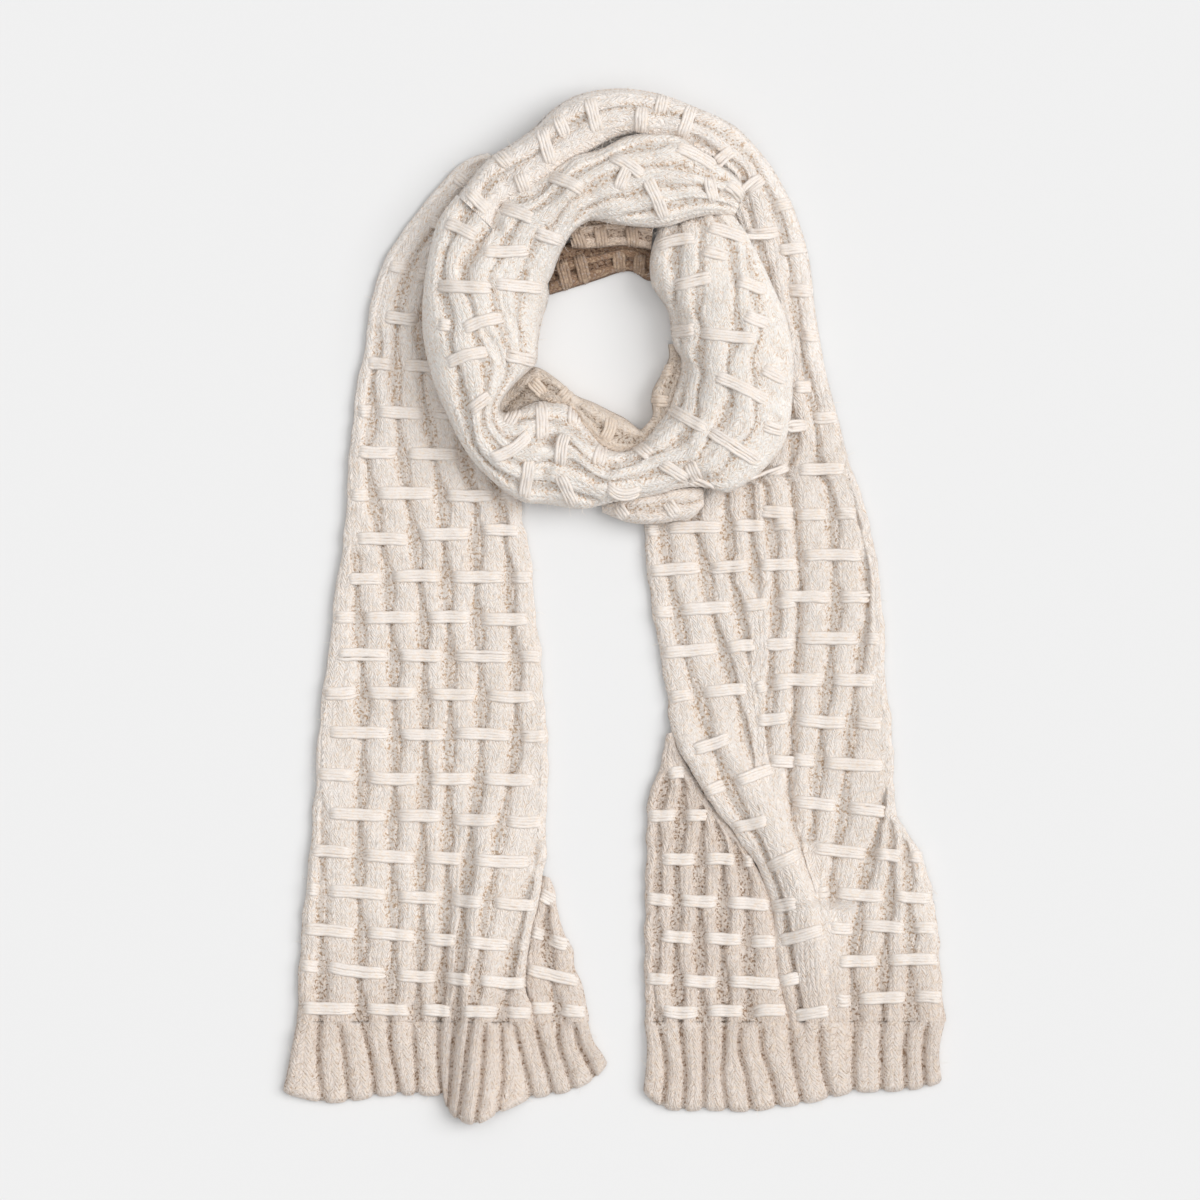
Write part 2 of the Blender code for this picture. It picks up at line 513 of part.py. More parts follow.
def tail(name, table, rows, first, folds, colour, fade_rows=None):
    """A flat length of ribbed cloth, from its top row to its bottom row."""
    top, bottom = table[0][0], table[-1][0]
    rings = []
    for at in ring_places(top, bottom, rows):
        row = along(table, at)
        slant = row[1]
        guess = row[2:]
        spots = []
        for k, x in enumerate(guess):
            share = (x - guess[0]) / (guess[-1] - guess[0])
            y = min(max(at + slant * (share - 0.5), bottom), top)
            spots.append((along(table, y)[2 + k], y))
        width = spots[-1][0] - spots[0][0]
        shares = [(x - spots[0][0]) / width for x, y in spots[1:-1]]
        fade = [fade_share(fade_rows.get(k), at) for k in range(len(shares))] if fade_rows else None
        phase = row_phase(rows, at) + first
        rings.append(ring(spots[0], spots[-1], shares, (0.0, 0.0), CLOTH_BASE, phase, 6.0, EDGE_INSET, 0.5, folds, fade))
    return skin(name, rings, colour)


def fade_share(span, at):
    """How far a trough has closed, from 0 above its span to 1 below it."""
    if not span:
        return 0.0
    return min(max((span[0] - at) / (span[0] - span[1]), 0.0), 1.0)


def stretch(name, stations, lines, first, power, inset, side_share, colour, step=None, row_start=6.0):
    """A length of the loop: ribbed cloth over one rounded body; a step is where its underside turns down."""
    table = with_length(stations)
    length = table[-1][0]
    count = max(int((length - row_start) // ROW_PITCH) + 1, 2)
    rows = [row_start + ROW_PITCH * i for i in range(count)]
    rings = []
    for at in ring_places(0.0, length, rows):
        _, ax, ay, bx, by, under_a, under_b, crown = along(table, at)
        phase = row_phase(rows, at) + first
        under = (max(under_a, 0.0), max(under_b, 0.0))
        rings.append(ring((ax, ay), (bx, by), lines, under, crown, phase, power, inset, side_share, (), None, step))
    return skin(name, rings, colour)


def hem(name, table, folds, colour):
    """The ribbing at a tail's end: every trough runs down to its own place on the scalloped edge."""
    steps = (0.0, 0.25, 0.5, 0.78, 0.95, 1.0)
    drop = (1.0, 1.0, 1.0, 1.0, 0.9, 0.55)
    last = len(table) - 1
    rings = []
    for t, full in zip(steps, drop):
        middles = []
        for x0, x1, y1, x2, y2, x3, y3 in table:
            row = along(((0.0, x0, TAIL_END - SEAM_GAP), (0.36, x1, y1), (0.7, x2, y2), (1.0, x3, y3)), t)
            middles.append((row[1], row[2]))
        points = []

        def put(x, y, z):
            lift = sum(fold_lift(x, y, crest, reach) for crest, reach in folds)
            points.append((x, y, z * full + lift))

        for k, (x, y) in enumerate(middles):
            if k:
                px, py = middles[k - 1]
                share = min(0.26, 2.6 / (x - px))
                out = 2.2 * (1 - full) / 0.45
                put(x + (px - x) * share, y + (py - y) * share - out, CLOTH_BASE + RIB_RELIEF)
            put(x, y, CLOTH_BASE if 0 < k < last else CLOTH_BASE * 0.6)
            if k < last:
                nx, ny = middles[k + 1]
                share = min(0.26, 2.6 / (nx - x))
                out = 2.2 * (1 - full) / 0.45
                put(x + (nx - x) * share, y + (ny - y) * share - out, CLOTH_BASE + RIB_RELIEF)
        for k in range(last, -1, -1):
            x, y = middles[k]
            x += EDGE_INSET * (1 if k == 0 else -1 if k == last else 0)
            points.append((x, y + 1.2 * t * t, 0.0))
        rings.append(points)
    top = 3 * (last + 1) - 2
    cross = []
    for k in range(last):
        under = top + last - k
        cross.append([3 * k, 3 * k + 1, 3 * k + 2, 3 * k + 3, under - 1, under])
    return skin(name, rings, colour, cross)


# ---- the scarf ------------------------------------------------------------------------------------
for old in list(bpy.data.objects):
    bpy.data.objects.remove(old)
scarf = bpy.data.collections.new("knitted_scarf")
bpy.context.scene.collection.children.link(scarf)

ridge_left = ((LEFT_RIDGE, LEFT_RIDGE_REACH),)
ridge_right = ((RIGHT_RIDGE, RIGHT_RIDGE_REACH),)
lip_left = ((LEFT_LIP, LEFT_LIP_REACH),)
lip_right = ((RIGHT_LIP, RIGHT_LIP_REACH),)
flare_right = ((RIGHT_FLARE, RIGHT_FLARE_REACH),)

tail("left_tail", LEFT_TAIL, LEFT_ROWS, 1, ridge_left + lip_left, BODY_COLOUR)
tail("left_tail_under", LEFT_UNDER, LEFT_ROWS, 0, (), BODY_COLOUR)
hem("left_hem", LEFT_HEM, ridge_left, HEM_COLOUR)
tail("right_tail_inner", RIGHT_INNER, INNER_ROWS, 0, ridge_right + lip_right, BODY_COLOUR,
     {1: (-105, -125), 2: (-30, -50), 3: (15, -5)})
tail("right_tail_under", RIGHT_UNDER, UNDER_ROWS, 0, (), BODY_COLOUR)
tail("right_tail_outer", RIGHT_OUTER, OUTER_ROWS, 0, flare_right, BODY_COLOUR)
hem("right_hem", RIGHT_HEM, ridge_right, HEM_COLOUR)

stretch("left_side", LEFT_SIDE, SIDE_LINES, 0, 6.0, EDGE_INSET, 0.5, BODY_COLOUR)
stretch("right_side", RIGHT_SIDE, ARC_LINES, 1, 4.0, EDGE_INSET, 0.5, BODY_COLOUR)
stretch("outer_arc", OUTER_ARC, ARC_LINES, 0, 2.2, LOOP_INSET, 0.3, BODY_COLOUR)
stretch("inner_fold", INNER_FOLD, FOLD_LINES, 1, 2.2, LOOP_INSET, 0.25, BODY_COLOUR)
stretch("left_limb", LEFT_LIMB, LIMB_LINES, 0, 2.2, LOOP_INSET, 0.25, BODY_COLOUR, 0.64)
stretch("front_band", FRONT_BAND, LIMB_LINES, 1, 2.2, LOOP_INSET, 0.25, BODY_COLOUR)
stretch("right_limb", RIGHT_LIMB, RIGHT_LIMB_LINES, 0, 2.2, LOOP_INSET, 0.25, BODY_COLOUR, 0.45)
stretch("inner_layer", INNER_LAYER, LAYER_LINES, 0, 2.4, EDGE_INSET, 0.3, INNER_COLOUR)
stretch("front_flap", FRONT_FLAP, FLAP_LINES, 0, 2.4, EDGE_INSET, 0.3, INNER_COLOUR)
stretch("neck_low", NECK_LOW, NECK_LINES, 0, 5.0, EDGE_INSET, 0.5, INNER_COLOUR)
stretch("neck_mid", NECK_MID, NECK_LINES, 1, 3.0, EDGE_INSET, 0.4, INNER_COLOUR)
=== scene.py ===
"""Looks of the chunky knitted scarf: fine ribbed cloth, yarn floats, fuzz, wool and soft studio light."""
import bpy
import math
import numpy as np
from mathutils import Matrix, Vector
from mathutils.bvhtree import BVHTree


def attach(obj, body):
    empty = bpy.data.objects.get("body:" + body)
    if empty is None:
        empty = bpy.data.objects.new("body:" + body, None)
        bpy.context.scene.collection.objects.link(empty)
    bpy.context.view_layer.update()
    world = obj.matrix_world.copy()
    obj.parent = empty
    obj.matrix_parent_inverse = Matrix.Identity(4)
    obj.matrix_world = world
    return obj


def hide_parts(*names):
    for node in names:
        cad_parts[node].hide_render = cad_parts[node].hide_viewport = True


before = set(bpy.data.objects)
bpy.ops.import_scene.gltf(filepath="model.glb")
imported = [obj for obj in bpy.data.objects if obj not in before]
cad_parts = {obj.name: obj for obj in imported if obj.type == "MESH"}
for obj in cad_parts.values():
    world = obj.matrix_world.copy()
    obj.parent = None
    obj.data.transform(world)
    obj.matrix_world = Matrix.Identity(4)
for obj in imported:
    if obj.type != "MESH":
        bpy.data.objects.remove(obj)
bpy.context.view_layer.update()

# ---- sizes, millimetres --------------------------------------------------------------------------
MM = 0.001
CLOTH_BASE = 5.2       # floor to the bottom of a trough
RIB_RELIEF = 3.7       # trough to the crest of a rib
TROUGH_WIDE = 5.0      # half a trough beside the gap between two floats
TROUGH_NARROW = 1.4    # half a trough under a float
TROUGH_LATE = 0.28     # how far below its row a trough is widest, in rows
TROUGH_MOST = 0.27     # the share of a rib's room that a trough beside it takes at most
LOOP_TROUGHS = 0.72    # the loop's troughs, as a share of the tails'
SIDE_TROUGHS = 0.9     # and the left side's
ROW_PITCH = 29.0       # between the rows of floats along the loop
CLOSED_WITHIN = 8.0    # a trough starts to close this near an edge
CLOSED_OVER = 2.5      # and is closed this much nearer
RIB_FULL = 9.0         # narrower ribs have less relief
LEAST_RIB = 0.8        # and no rib is narrower than this
EDGE_ROUND = 7.0       # the ribs round off this near an edge
EDGE_TURNS = (25, 50, 75, 90)      # degrees round a lower edge, at its columns of points
STITCH_ROW = 3.3       # height of a row of stitches
STITCH_WIDE = 6.3      # width of a column of stitches
STITCH_DEPTH = 0.62    # relief of the stitches' legs
STEP = 1.1             # mesh step along the cloth
RIB_SIDE = 6           # columns of points to each side of a rib's middle
HEM_RIB_SIDE = 4       # and of a hem's rib
RIB_SQUARE = 2.3       # how square a rib's section is, where 2 is round
HEM_RIB_SQUARE = 2.4   # and a hem's rib
RIB_UNEVEN = 0.12      # the share by which a rib's relief varies along it
LIVELY = 0.6           # the share by which the stitches' relief varies
HEM_LIVELY = 0.5       # and a hem's
YARN = 2.7             # thickness of a float's yarn
YARN_PITCH = 1.95      # between the yarns of a float
YARNS = 4              # yarns in a float
YARN_STEPS = 14        # points along one of them
YARN_LEAST = 5         # with fewer of them over cloth it isn't laid
TAUT = 0.78            # how straight it is pulled over the cloth's dips
LIFT = 0.55            # how far it lies over the cloth
BUNDLE_LIFT = 0.35     # and how much further in the middle of its float
SLACK_DROP = 0.3       # and less far in a slack one
SPLAY = 0.4            # the outer yarns of a float are longer by this at each end
PINCH = 0.3            # and come together at its ends by this share
DIVE = 3.4             # how deep a float's ends go into the cloth
DIVE_RUN = 3.6         # and over what length
LEAST_FLOAT = 5.0      # a shorter float isn't laid
LEAST_WIDTH = 8.0      # and a row leaves out cloth narrower than this
MARGIN = 3.8           # from a float's end to the next trough
MARGIN_SHARE = 0.14    # but no more than this share of the way between troughs
EDGE_MARGIN = 1.4      # from a float's end to the cloth's edge
FUZZ_DENSITY = 2.0e4   # loose fibres on a square metre
FIBRE_GIRTH = 0.2      # thickness of a loose fibre
TAIL_END = -283.0      # y where the tails pass into their hems
HEM_STEPS = 52         # rows of points down a hem
HEM_GROOVE = 1.2       # depth of the grooves between a hem's ribs, and half their width
HEM_TUCK = 1.2         # how far its underside stays behind its end
HEM_EDGE = ((0.2, 2.2), (1.0, 0.6), (2.4, 0.0))     # down its rounded edge: distance in, height

# the profile of a flat tail's section: how square its dome is, how far its edges tuck in
# below, and at what share of its height it is widest
FLAT_POWER, FLAT_INSET, FLAT_SIDE = 6.0, 2.4, 0.5
LOOP_INSET = 6.0       # the same tuck of the loop's rolls
# unevenness of the surface, as the height and the size of its waves
COARSE, FINE = (0.45, 14), (0.22, 5)
HEM_COARSE, HEM_FINE = (0.4, 12), (0.2, 5)
CRUMPLE = (1.1, 24)    # on the loop only
SWAY = (0.35, 11)      # sideways, on the tails only
CREASE_DEPTH = 1.25    # the creases' depths are drawn out by this

LEFT_ROWS = (47.6, 18.4, -8.8, -34.7, -60.5, -87.7, -117.0, -144.2, -171.4, -198.6, -225.8, -250.9, -275.0)
INNER_ROWS = (53, 26, -1, -29, -58, -88, -117, -146, -172, -197, -222, -248, -273)
OUTER_ROWS = (61.9, 33.3, 6.1, -23, -51, -78.9, -107.4, -137.4, -168, -197, -219, -241.4, -267)
UNDER_ROWS = (-115, -142, -172.7, -201.3, -226.4, -255.7, -276)

# ---- tails: y, slant of the row, then x of the left edge, the troughs and the right edge ----------
LEFT_TAIL = (
    (75, 0, -181.5, -180.2, -178.5, -165, -141, -118, -95, -78, -66.5, -64.5),
    (61, 0, -182.2, -181, -179, -162.5, -138.5, -116.5, -94, -76.5, -63.8, -61.8),
    (40.8, 0, -184.3, -182, -178, -158, -135, -115.5, -94, -74, -60.4, -58.4),
    (20.4, 0, -187, -184.5, -175.5, -154, -133, -115, -94, -71, -57.2, -55),
    (0, -1, -190.4, -187, -175, -153.5, -131, -113.5, -94, -70.5, -56.5, -54.2),
    (-20.4, -1, -192.4, -190, -173.5, -151, -130, -112.5, -93, -69, -52.8, -51),
    (-40.8, -2, -196.5, -193, -171.5, -150, -129.5, -112, -91.5, -67, -51.2, -49.4),
    (-61.2, -2, -198.8, -195.5, -171, -150, -129.5, -111.5, -90.5, -67, -50.5, -47.6),
    (-81.6, -3, -200.2, -197.5, -171, -149, -129, -112, -90.5, -67, -50, -45.8),
    (-102, -3, -202, -198, -171, -149, -129, -113, -91, -68, -49.6, -44.9),
    (-122.4, -4, -202.4, -198, -172, -149.2, -129.2, -113.2, -93.2, -71.5, -50, -44.9),
    (-153, -6, -205.4, -198.2, -173.2, -151, -130.4, -113.5, -97.4, -77.5, -51.6, -46.6),
    (-178, -8, -208.4, -198.6, -174, -151, -131.8, -114, -100, -81, -54, -46.8),
    (-204, -10, -210.8, -199.2, -173.4, -150.5, -131.2, -114.2, -102, -86.4, -60.4, -52.2),
    (-230, -12, -213, -199, -172, -150, -132, -115, -104, -89.5, -66, -57.6),
    (-255, -12, -214.6, -199, -172.8, -151.6, -133, -116.6, -105.6, -94.4, -71, -59.8),
    (-283, 0, -215.4, -200, -172, -153, -135, -119, -107, -97.5, -77, -54),
)
LEFT_UNDER = (
    (-184, -3, -48.5, -45.6, -44.6),
    (-194, -6, -51.2, -44.8, -40.9),
    (-204, -8, -53.5, -45, -38.8),
    (-214, -10, -56.6, -46, -36.8),
    (-224, -10, -58, -46.2, -33.4),
    (-234.6, -10, -59.8, -45.4, -28.4),
    (-245, -10, -61.2, -44, -26.2),
    (-255, -8, -61.1, -42, -22.6),
    (-269, -4, -59, -39.6, -18.9),
    (-283, 0, -55.3, -38, -17.8),
)
RIGHT_INNER = (
    (82, 0, 23, 31, 54, 76, 91.5, 103, 119.5),
    (61, 3, 20, 31, 54, 76.5, 92, 105, 122),
    (41, 4, 21.1, 33.5, 58, 77.5, 94, 107.5, 124.5),
    (20.4, 5, 23.2, 37, 62, 79.5, 96, 109, 126),
    (0, 7, 25.8, 41, 65, 84, 98, 109, 125),
    (-20.4, 8, 29, 45, 71, 89, 99.5, 108, 124),
    (-41, 9, 32.2, 50, 76.5, 92, 99.8, 106, 123),
    (-61.2, 10, 35.8, 56.5, 83, 94.5, 99.5, 104.5, 122),
    (-82, 11, 38.4, 62.5, 89, 96.5, 100.5, 103.5, 121),
    (-102, 12, 46, 69.5, 93.5, 99, 101.8, 104.8, 120),
    (-122, 12, 58, 76, 96.6, 102, 104.8, 107.6, 118.5),
    (-142, 12, 71, 87, 99.6, 105, 108, 111.4, 120.5),
    (-162, 11, 87, 100, 105.5, 110.5, 114, 117.6, 126),
    (-182, 9, 99, 108.4, 113, 117.4, 120.4, 124, 132),
    (-204, 8, 106.5, 115.8, 120, 124, 127, 130.4, 139),
    (-240, 5, 110.5, 121.4, 126, 129.6, 132.6, 136.2, 144.5),
    (-262, 3, 114, 125.2, 129.6, 133, 136, 139.2, 147.5),
    (-283, 0, 118.5, 129, 132.4, 135.6, 138.4, 141.4, 149.5),
)
RIGHT_UNDER = (
    (-86, 3, 37.6, 38.8, 40, 41, 42, 42.6, 43.4),
    (-98, 3, 33.8, 36.6, 38.9, 41.2, 43, 43.2, 44.1),
    (-112, 4, 30.6, 36, 44, 48.2, 50.2, 50.6, 51.6),
    (-122.4, 5, 26.6, 34.2, 47, 53.8, 56, 56.6, 57.7),
    (-132.6, 4, 23.2, 31.2, 46.2, 58.6, 61.8, 62.6, 63.8),
    (-142.8, 2, 22.4, 30.2, 45.4, 60.6, 67.4, 69.6, 72.7),
    (-162, -2, 22.6, 30, 43.4, 59, 74.6, 81, 88.2),
    (-182, -3, 21.1, 29.2, 42, 58, 74, 88, 100.2),
    (-204, -4, 21.1, 29, 42, 58, 74, 90, 107.7),
    (-240, -5, 21.1, 28.2, 42, 58, 73.5, 91, 111.7),
    (-262, -3, 21.1, 27.6, 43.2, 59.2, 74.2, 91, 115.2),
    (-283, 0, 20.6, 29.5, 45, 60.5, 75, 92, 119.7),
)
RIGHT_OUTER = (
    (82, 0, 120.3, 145, 160.8, 163.2, 164.4, 164.9, 165.4),
    (71.4, 1, 121.8, 147, 163, 166.4, 167.8, 168.7, 169.2),
    (61.2, 2, 122.8, 148, 165.2, 168.8, 170.2, 171.1, 171.6),
    (40.8, 2, 125.3, 149, 169.8, 173.8, 175.2, 176.1, 176.6),
    (20.4, 1, 126.8, 149.5, 172, 176.8, 178.4, 179.5, 180),
    (0, 0, 125.8, 150, 172, 178.2, 180, 181.3, 181.8),
    (-20.4, -1, 124.8, 148, 170, 179.6, 181.8, 183.5, 184),
    (-40.8, -2, 123.8, 146, 166, 180.2, 182.2, 183.5, 184),
    (-61.2, -3, 122.8, 143.5, 163, 181.2, 183.4, 184.9, 185.4),
    (-81.6, -4, 121.8, 141, 161, 184.8, 185.6, 187.9, 188.4),
    (-102, -5, 120.8, 139, 159, 186, 186.8, 189.2, 189.7),
    (-122.4, -6, 119.3, 137, 156.5, 185, 187.2, 189.9, 190.4),
    (-142.8, -8, 121.3, 136, 155, 181.6, 187.6, 191.5, 192),
    (-153, -8, 123.8, 134.4, 153, 179.4, 188, 195.5, 198.4),
    (-163, -8, 127.1, 132.6, 151, 177, 188.4, 197, 204.4),
    (-173.4, -7, 130.1, 132.4, 149.4, 173, 188.4, 198.6, 211),
    (-183.6, -5, 133.1, 134.6, 148, 170.6, 188, 199.4, 213.6),
    (-204, -3, 139.8, 140.8, 146.6, 167.4, 186.2, 200, 217.6),
    (-224, 0, 143.4, 144.2, 146.4, 164, 184.4, 200.4, 220.4),
    (-244.8, 2, 145.8, 146.6, 148.6, 161.6, 183, 200.8, 222),
    (-262, 2, 148.3, 149.2, 151.2, 162, 182.2, 201, 223.2),
    (-283, 0, 150.3, 151.4, 153.6, 163, 182.5, 201.6, 224.9),
)

# ---- hems: x at the top, then x, y a third down, two thirds down and at the end ---------------------
LEFT_HEM = (
    (-215.4, -218.6, -299, -222, -317, -225, -330),
    (-200, -201, -300, -200, -320, -198, -337),
    (-187, -184, -300, -182, -319, -180, -336),
    (-172, -167, -300, -164.2, -317, -162.5, -332.6),
    (-153, -152, -300, -148.4, -317, -146, -331.2),
    (-137, -135.4, -300, -134.4, -317, -134, -331.4),
    (-119, -119.4, -300, -118.6, -317, -116.4, -332),
    (-107.6, -109.8, -302, -111.4, -324, -113.2, -341.5),
    (-97.5, -100, -302, -102.6, -326, -106, -348.6),
    (-87, -88.6, -302, -90.4, -328, -94, -351.6),
    (-77, -76, -301, -75.6, -324, -79, -344),
    (-68, -64, -300, -59.4, -318, -56, -333.6),
    (-54, -50, -300, -45.6, -316, -42, -331.4),
    (-38, -37.6, -298, -32.6, -314, -28, -328.6),
    (-27, -24, -298, -18.4, -310, -13, -320.6),
    (-17.8, -14, -296, -8, -305, -4.6, -311),
)
RIGHT_HEM = (
    (20.6, 22.6, -300, 21.6, -317, 20, -330),
    (29.5, 34, -301, 35.4, -319, 33, -340.4),
    (45, 46.6, -301, 48.4, -320, 47, -342.4),
    (60.5, 61, -301, 61, -320, 61, -341.6),
    (75, 74.8, -301, 73.6, -320, 77, -342.2),
    (86, 85, -301, 89.8, -321, 93.4, -342.8),
    (100, 100.4, -301, 106.6, -320, 111, -339.8),
    (119, 120.6, -301, 123.6, -319, 127.6, -338),
    (140, 140, -301, 142.4, -318, 147, -333.4),
    (163, 163.2, -300, 162.6, -316, 163, -329.4),
    (182.5, 181.4, -299, 182, -315, 182, -329.2),
    (199.5, 197.6, -298, 197.8, -313, 198.4, -328.4),
    (213, 210.6, -298, 210.4, -312, 211.6, -326.4),
    (224.9, 221.8, -297, 221, -308, 222.6, -322.6),
)

# where rows of floats cross the left side, as distances up it
SIDE_ROWS = (0, 29, 56, 87, 118, 150, 184, 215, 245, 275)

# ---- loop: outer edge x, y, inner edge x, y, underside outer, inner, crown, then the troughs' shares --
LEFT_SIDE = (
    (-181.5, 75, -64, 75, 0, 0, 4.8, 0.01, 0.025, 0.14, 0.345, 0.54, 0.735, 0.88, 0.98),
    (-180.2, 100, -78, 98, 0, 0, 4.8, 0.01, 0.02, 0.13, 0.36, 0.58, 0.78, 0.94, 0.99),
    (-177, 125, -82, 120, 0, 0, 4.8, 0.01, 0.02, 0.13, 0.33, 0.55, 0.78, 0.96, 0.99),
    (-174.6, 150, -82, 142, 0, 0, 4.8, 0.01, 0.02, 0.12, 0.29, 0.5, 0.78, 0.96, 0.99),
    (-169, 172, -82, 164, 0, 0, 4.8, 0.01, 0.02, 0.1, 0.25, 0.46, 0.7, 0.94, 0.99),
    (-166.4, 196, -84, 186, 0, 0, 4.8, 0.01, 0.02, 0.08, 0.25, 0.45, 0.7, 0.92, 0.99),
    (-162.4, 214, -86, 202, 0, 0, 4.8, 0.01, 0.02, 0.08, 0.25, 0.47, 0.7, 0.92, 0.99),
    (-155.4, 234, -90, 217, 0, 0, 4.8, 0.01, 0.02, 0.09, 0.28, 0.5, 0.74, 0.94, 0.99),
    (-145.6, 249.4, -90, 232, 0, 0, 4.8, 0.01, 0.02, 0.1, 0.3, 0.56, 0.8, 0.96, 0.99),
    (-132, 268, -80, 245, 0, 0, 4.8, 0.01, 0.02, 0.1, 0.32, 0.6, 0.8, 0.96, 0.99),
    (-118, 285, -73, 259, 0, 0, 4.8, 0.01, 0.02, 0.12, 0.34, 0.6, 0.8, 0.96, 0.99),
    (-104.2, 298.6, -69, 269, 0, 0, 4.8, 0.01, 0.02, 0.14, 0.36, 0.6, 0.8, 0.96, 0.99),
    (-93.6, 304.6, -66, 280, 0, 0, 3, 0.01, 0.02, 0.2, 0.4, 0.6, 0.8, 0.96, 0.99),
    (-85, 306.5, -65, 290, 0, 0, 1.5, 0.01, 0.02, 0.2, 0.4, 0.6, 0.8, 0.96, 0.99),
)
RIGHT_SIDE = (
    (165.4, 82, 23, 82, 0, 0, 4.8,
     0.0035, 0.007, 0.0154, 0.0323, 0.1433, 0.3195, 0.4382, 0.519, 0.628, 0.782, 0.944),
    (158.4, 102, 88, 100, 0, 0, 4.8, 0, 0.01, 0.02, 0.03, 0.27, 0.52, 0.78, 1, 1, 1, 1),
    (151, 133, 90, 130, 0, 0, 4.8, 0, 0.01, 0.02, 0.03, 0.25, 0.52, 0.76, 1, 1, 1, 1),
    (145.4, 155, 90, 152, 0, 0, 4.8, 0, 0, 0.01, 0.02, 0.25, 0.52, 0.76, 1, 1, 1, 1),
    (140.4, 184, 89, 180, 0, 0, 4.8, 0, 0, 0.01, 0.02, 0.25, 0.52, 0.76, 1, 1, 1, 1),
    (137.4, 205, 87, 200, 0, 0, 4.8, 0, 0, 0.01, 0.02, 0.27, 0.54, 0.78, 1, 1, 1, 1),
    (134.8, 230, 84, 220, 0, 0, 4.8, 0, 0, 0, 0.01, 0.27, 0.58, 0.8, 1, 1, 1, 1),
    (129.6, 252, 80, 240, 0, 0, 4.8, 0, 0, 0, 0.01, 0.25, 0.6, 0.82, 1, 1, 1, 1),
    (121, 275, 77, 257, 0, 0, 5.6, 0, 0, 0, 0.01, 0.25, 0.62, 0.84, 1, 1, 1, 1),
    (109.6, 296, 78.4, 270, 0, 0, 11, 0, 0, 0, 0.01, 0.26, 0.64, 0.86, 1, 1, 1, 1),
    (97.2, 311.6, 81.2, 288.2, 0, 0, 19, 0, 0, 0, 0.01, 0.28, 0.66, 0.88, 1, 1, 1, 1),
    (81, 326.8, 62, 302.6, 0, 0, 27, 0, 0, 0, 0.01, 0.3, 0.7, 0.92, 1, 1, 1, 1),
    (56.6, 338.4, 44, 312.4, 0, 0, 30, 0, 0, 0, 0.01, 0.34, 0.74, 0.96, 1, 1, 1, 1),
    (32, 347.6, 28, 317.6, 0, 0, 32, 0, 0, 0, 0.01, 0.38, 0.8, 0.98, 1, 1, 1, 1),
    (5, 351.6, 8, 319.4, 0, 0, 33, 0, 0, 0, 0.01, 0.4, 0.84, 0.99, 1, 1, 1, 1),
    (-24, 347.4, -12, 310.2, 0, 0, 34, 0, 0, 0, 0.01, 0.42, 0.86, 0.99, 1, 1, 1, 1),
    (-42, 337.2, -27, 300.2, 0, 0, 34, 0, 0, 0, 0.01, 0.43, 0.88, 0.99, 1, 1, 1, 1),
    (-56, 323.8, -42, 290.6, 1, 1, 34, 0, 0, 0, 0.01, 0.44, 0.9, 0.99, 1, 1, 1, 1),
    (-72, 312.4, -56.6, 282.2, 11.4, 11.4, 34, 0, 0, 0, 0.01, 0.44, 0.93, 0.99, 1, 1, 1, 1),
    (-88, 302, -70.8, 275, 11.4, 11.4, 34, 0, 0, 0, 0.01, 0.44, 0.96, 0.99, 1, 1, 1, 1),
    (-98, 290, -79, 266.4, 11.4, 11.4, 34, 0, 0, 0, 0.01, 0.44, 0.98, 0.99, 1, 1, 1, 1),
    (-107, 278, -82, 254.6, 11.4, 11.4, 36, 0, 0, 0, 0.01, 0.44, 0.98, 0.99, 1, 1, 1, 1),
)
INNER_FOLD = (
    (88, 276.4, 80.6, 262, 19, 19, 24, 0, 0, 0.03, 0.2, 0.45, 0.7, 0.86),
    (86.6, 283.4, 74.4, 262.4, 19, 19, 30, 0, 0, 0.03, 0.2, 0.45, 0.7, 0.86),
    (79, 291.4, 63.6, 262, 19, 19, 36, 0, 0, 0.04, 0.22, 0.47, 0.7, 0.86),
    (63.6, 301.6, 50.6, 258.8, 19, 19, 40, 0, 0, 0.06, 0.26, 0.5, 0.72, 0.88),
    (45.1, 315.6, 35.4, 254, 19, 19, 43, 0, 0, 0.1, 0.32, 0.56, 0.78, 0.94),
    (27.9, 318.1, 16, 254, 19.4, 19.4, 44, 0, 0, 0.14, 0.38, 0.62, 0.84, 0.98),
    (7.8, 315.4, -2, 257, 19.4, 19.4, 44, 0, 0, 0.18, 0.44, 0.7, 0.92, 1),
    (-10.4, 306.6, -16, 259, 19.4, 19.4, 44, 0, 0.04, 0.22, 0.5, 0.78, 0.98, 1),
    (-26.6, 302.9, -27, 252, 19.4, 19.4, 44, 0, 0.1, 0.28, 0.56, 0.86, 1, 1),
    (-42.3, 293.4, -34, 241, 16, 14, 43, 0, 0.16, 0.32, 0.6, 0.93, 1, 1),
    (-57.1, 284.4, -38.4, 231, 13, 11.6, 42, 0, 0.18, 0.33, 0.62, 0.98, 1, 1),
    (-73.4, 275.9, -41, 223, 11.6, 11.6, 41, 0, 0.1, 0.32, 0.63, 1, 1, 1),
    (-86.2, 259.4, -44, 217.4, 11.4, 11.4, 40, 0, 0.02, 0.3, 0.64, 1, 1, 1),
)
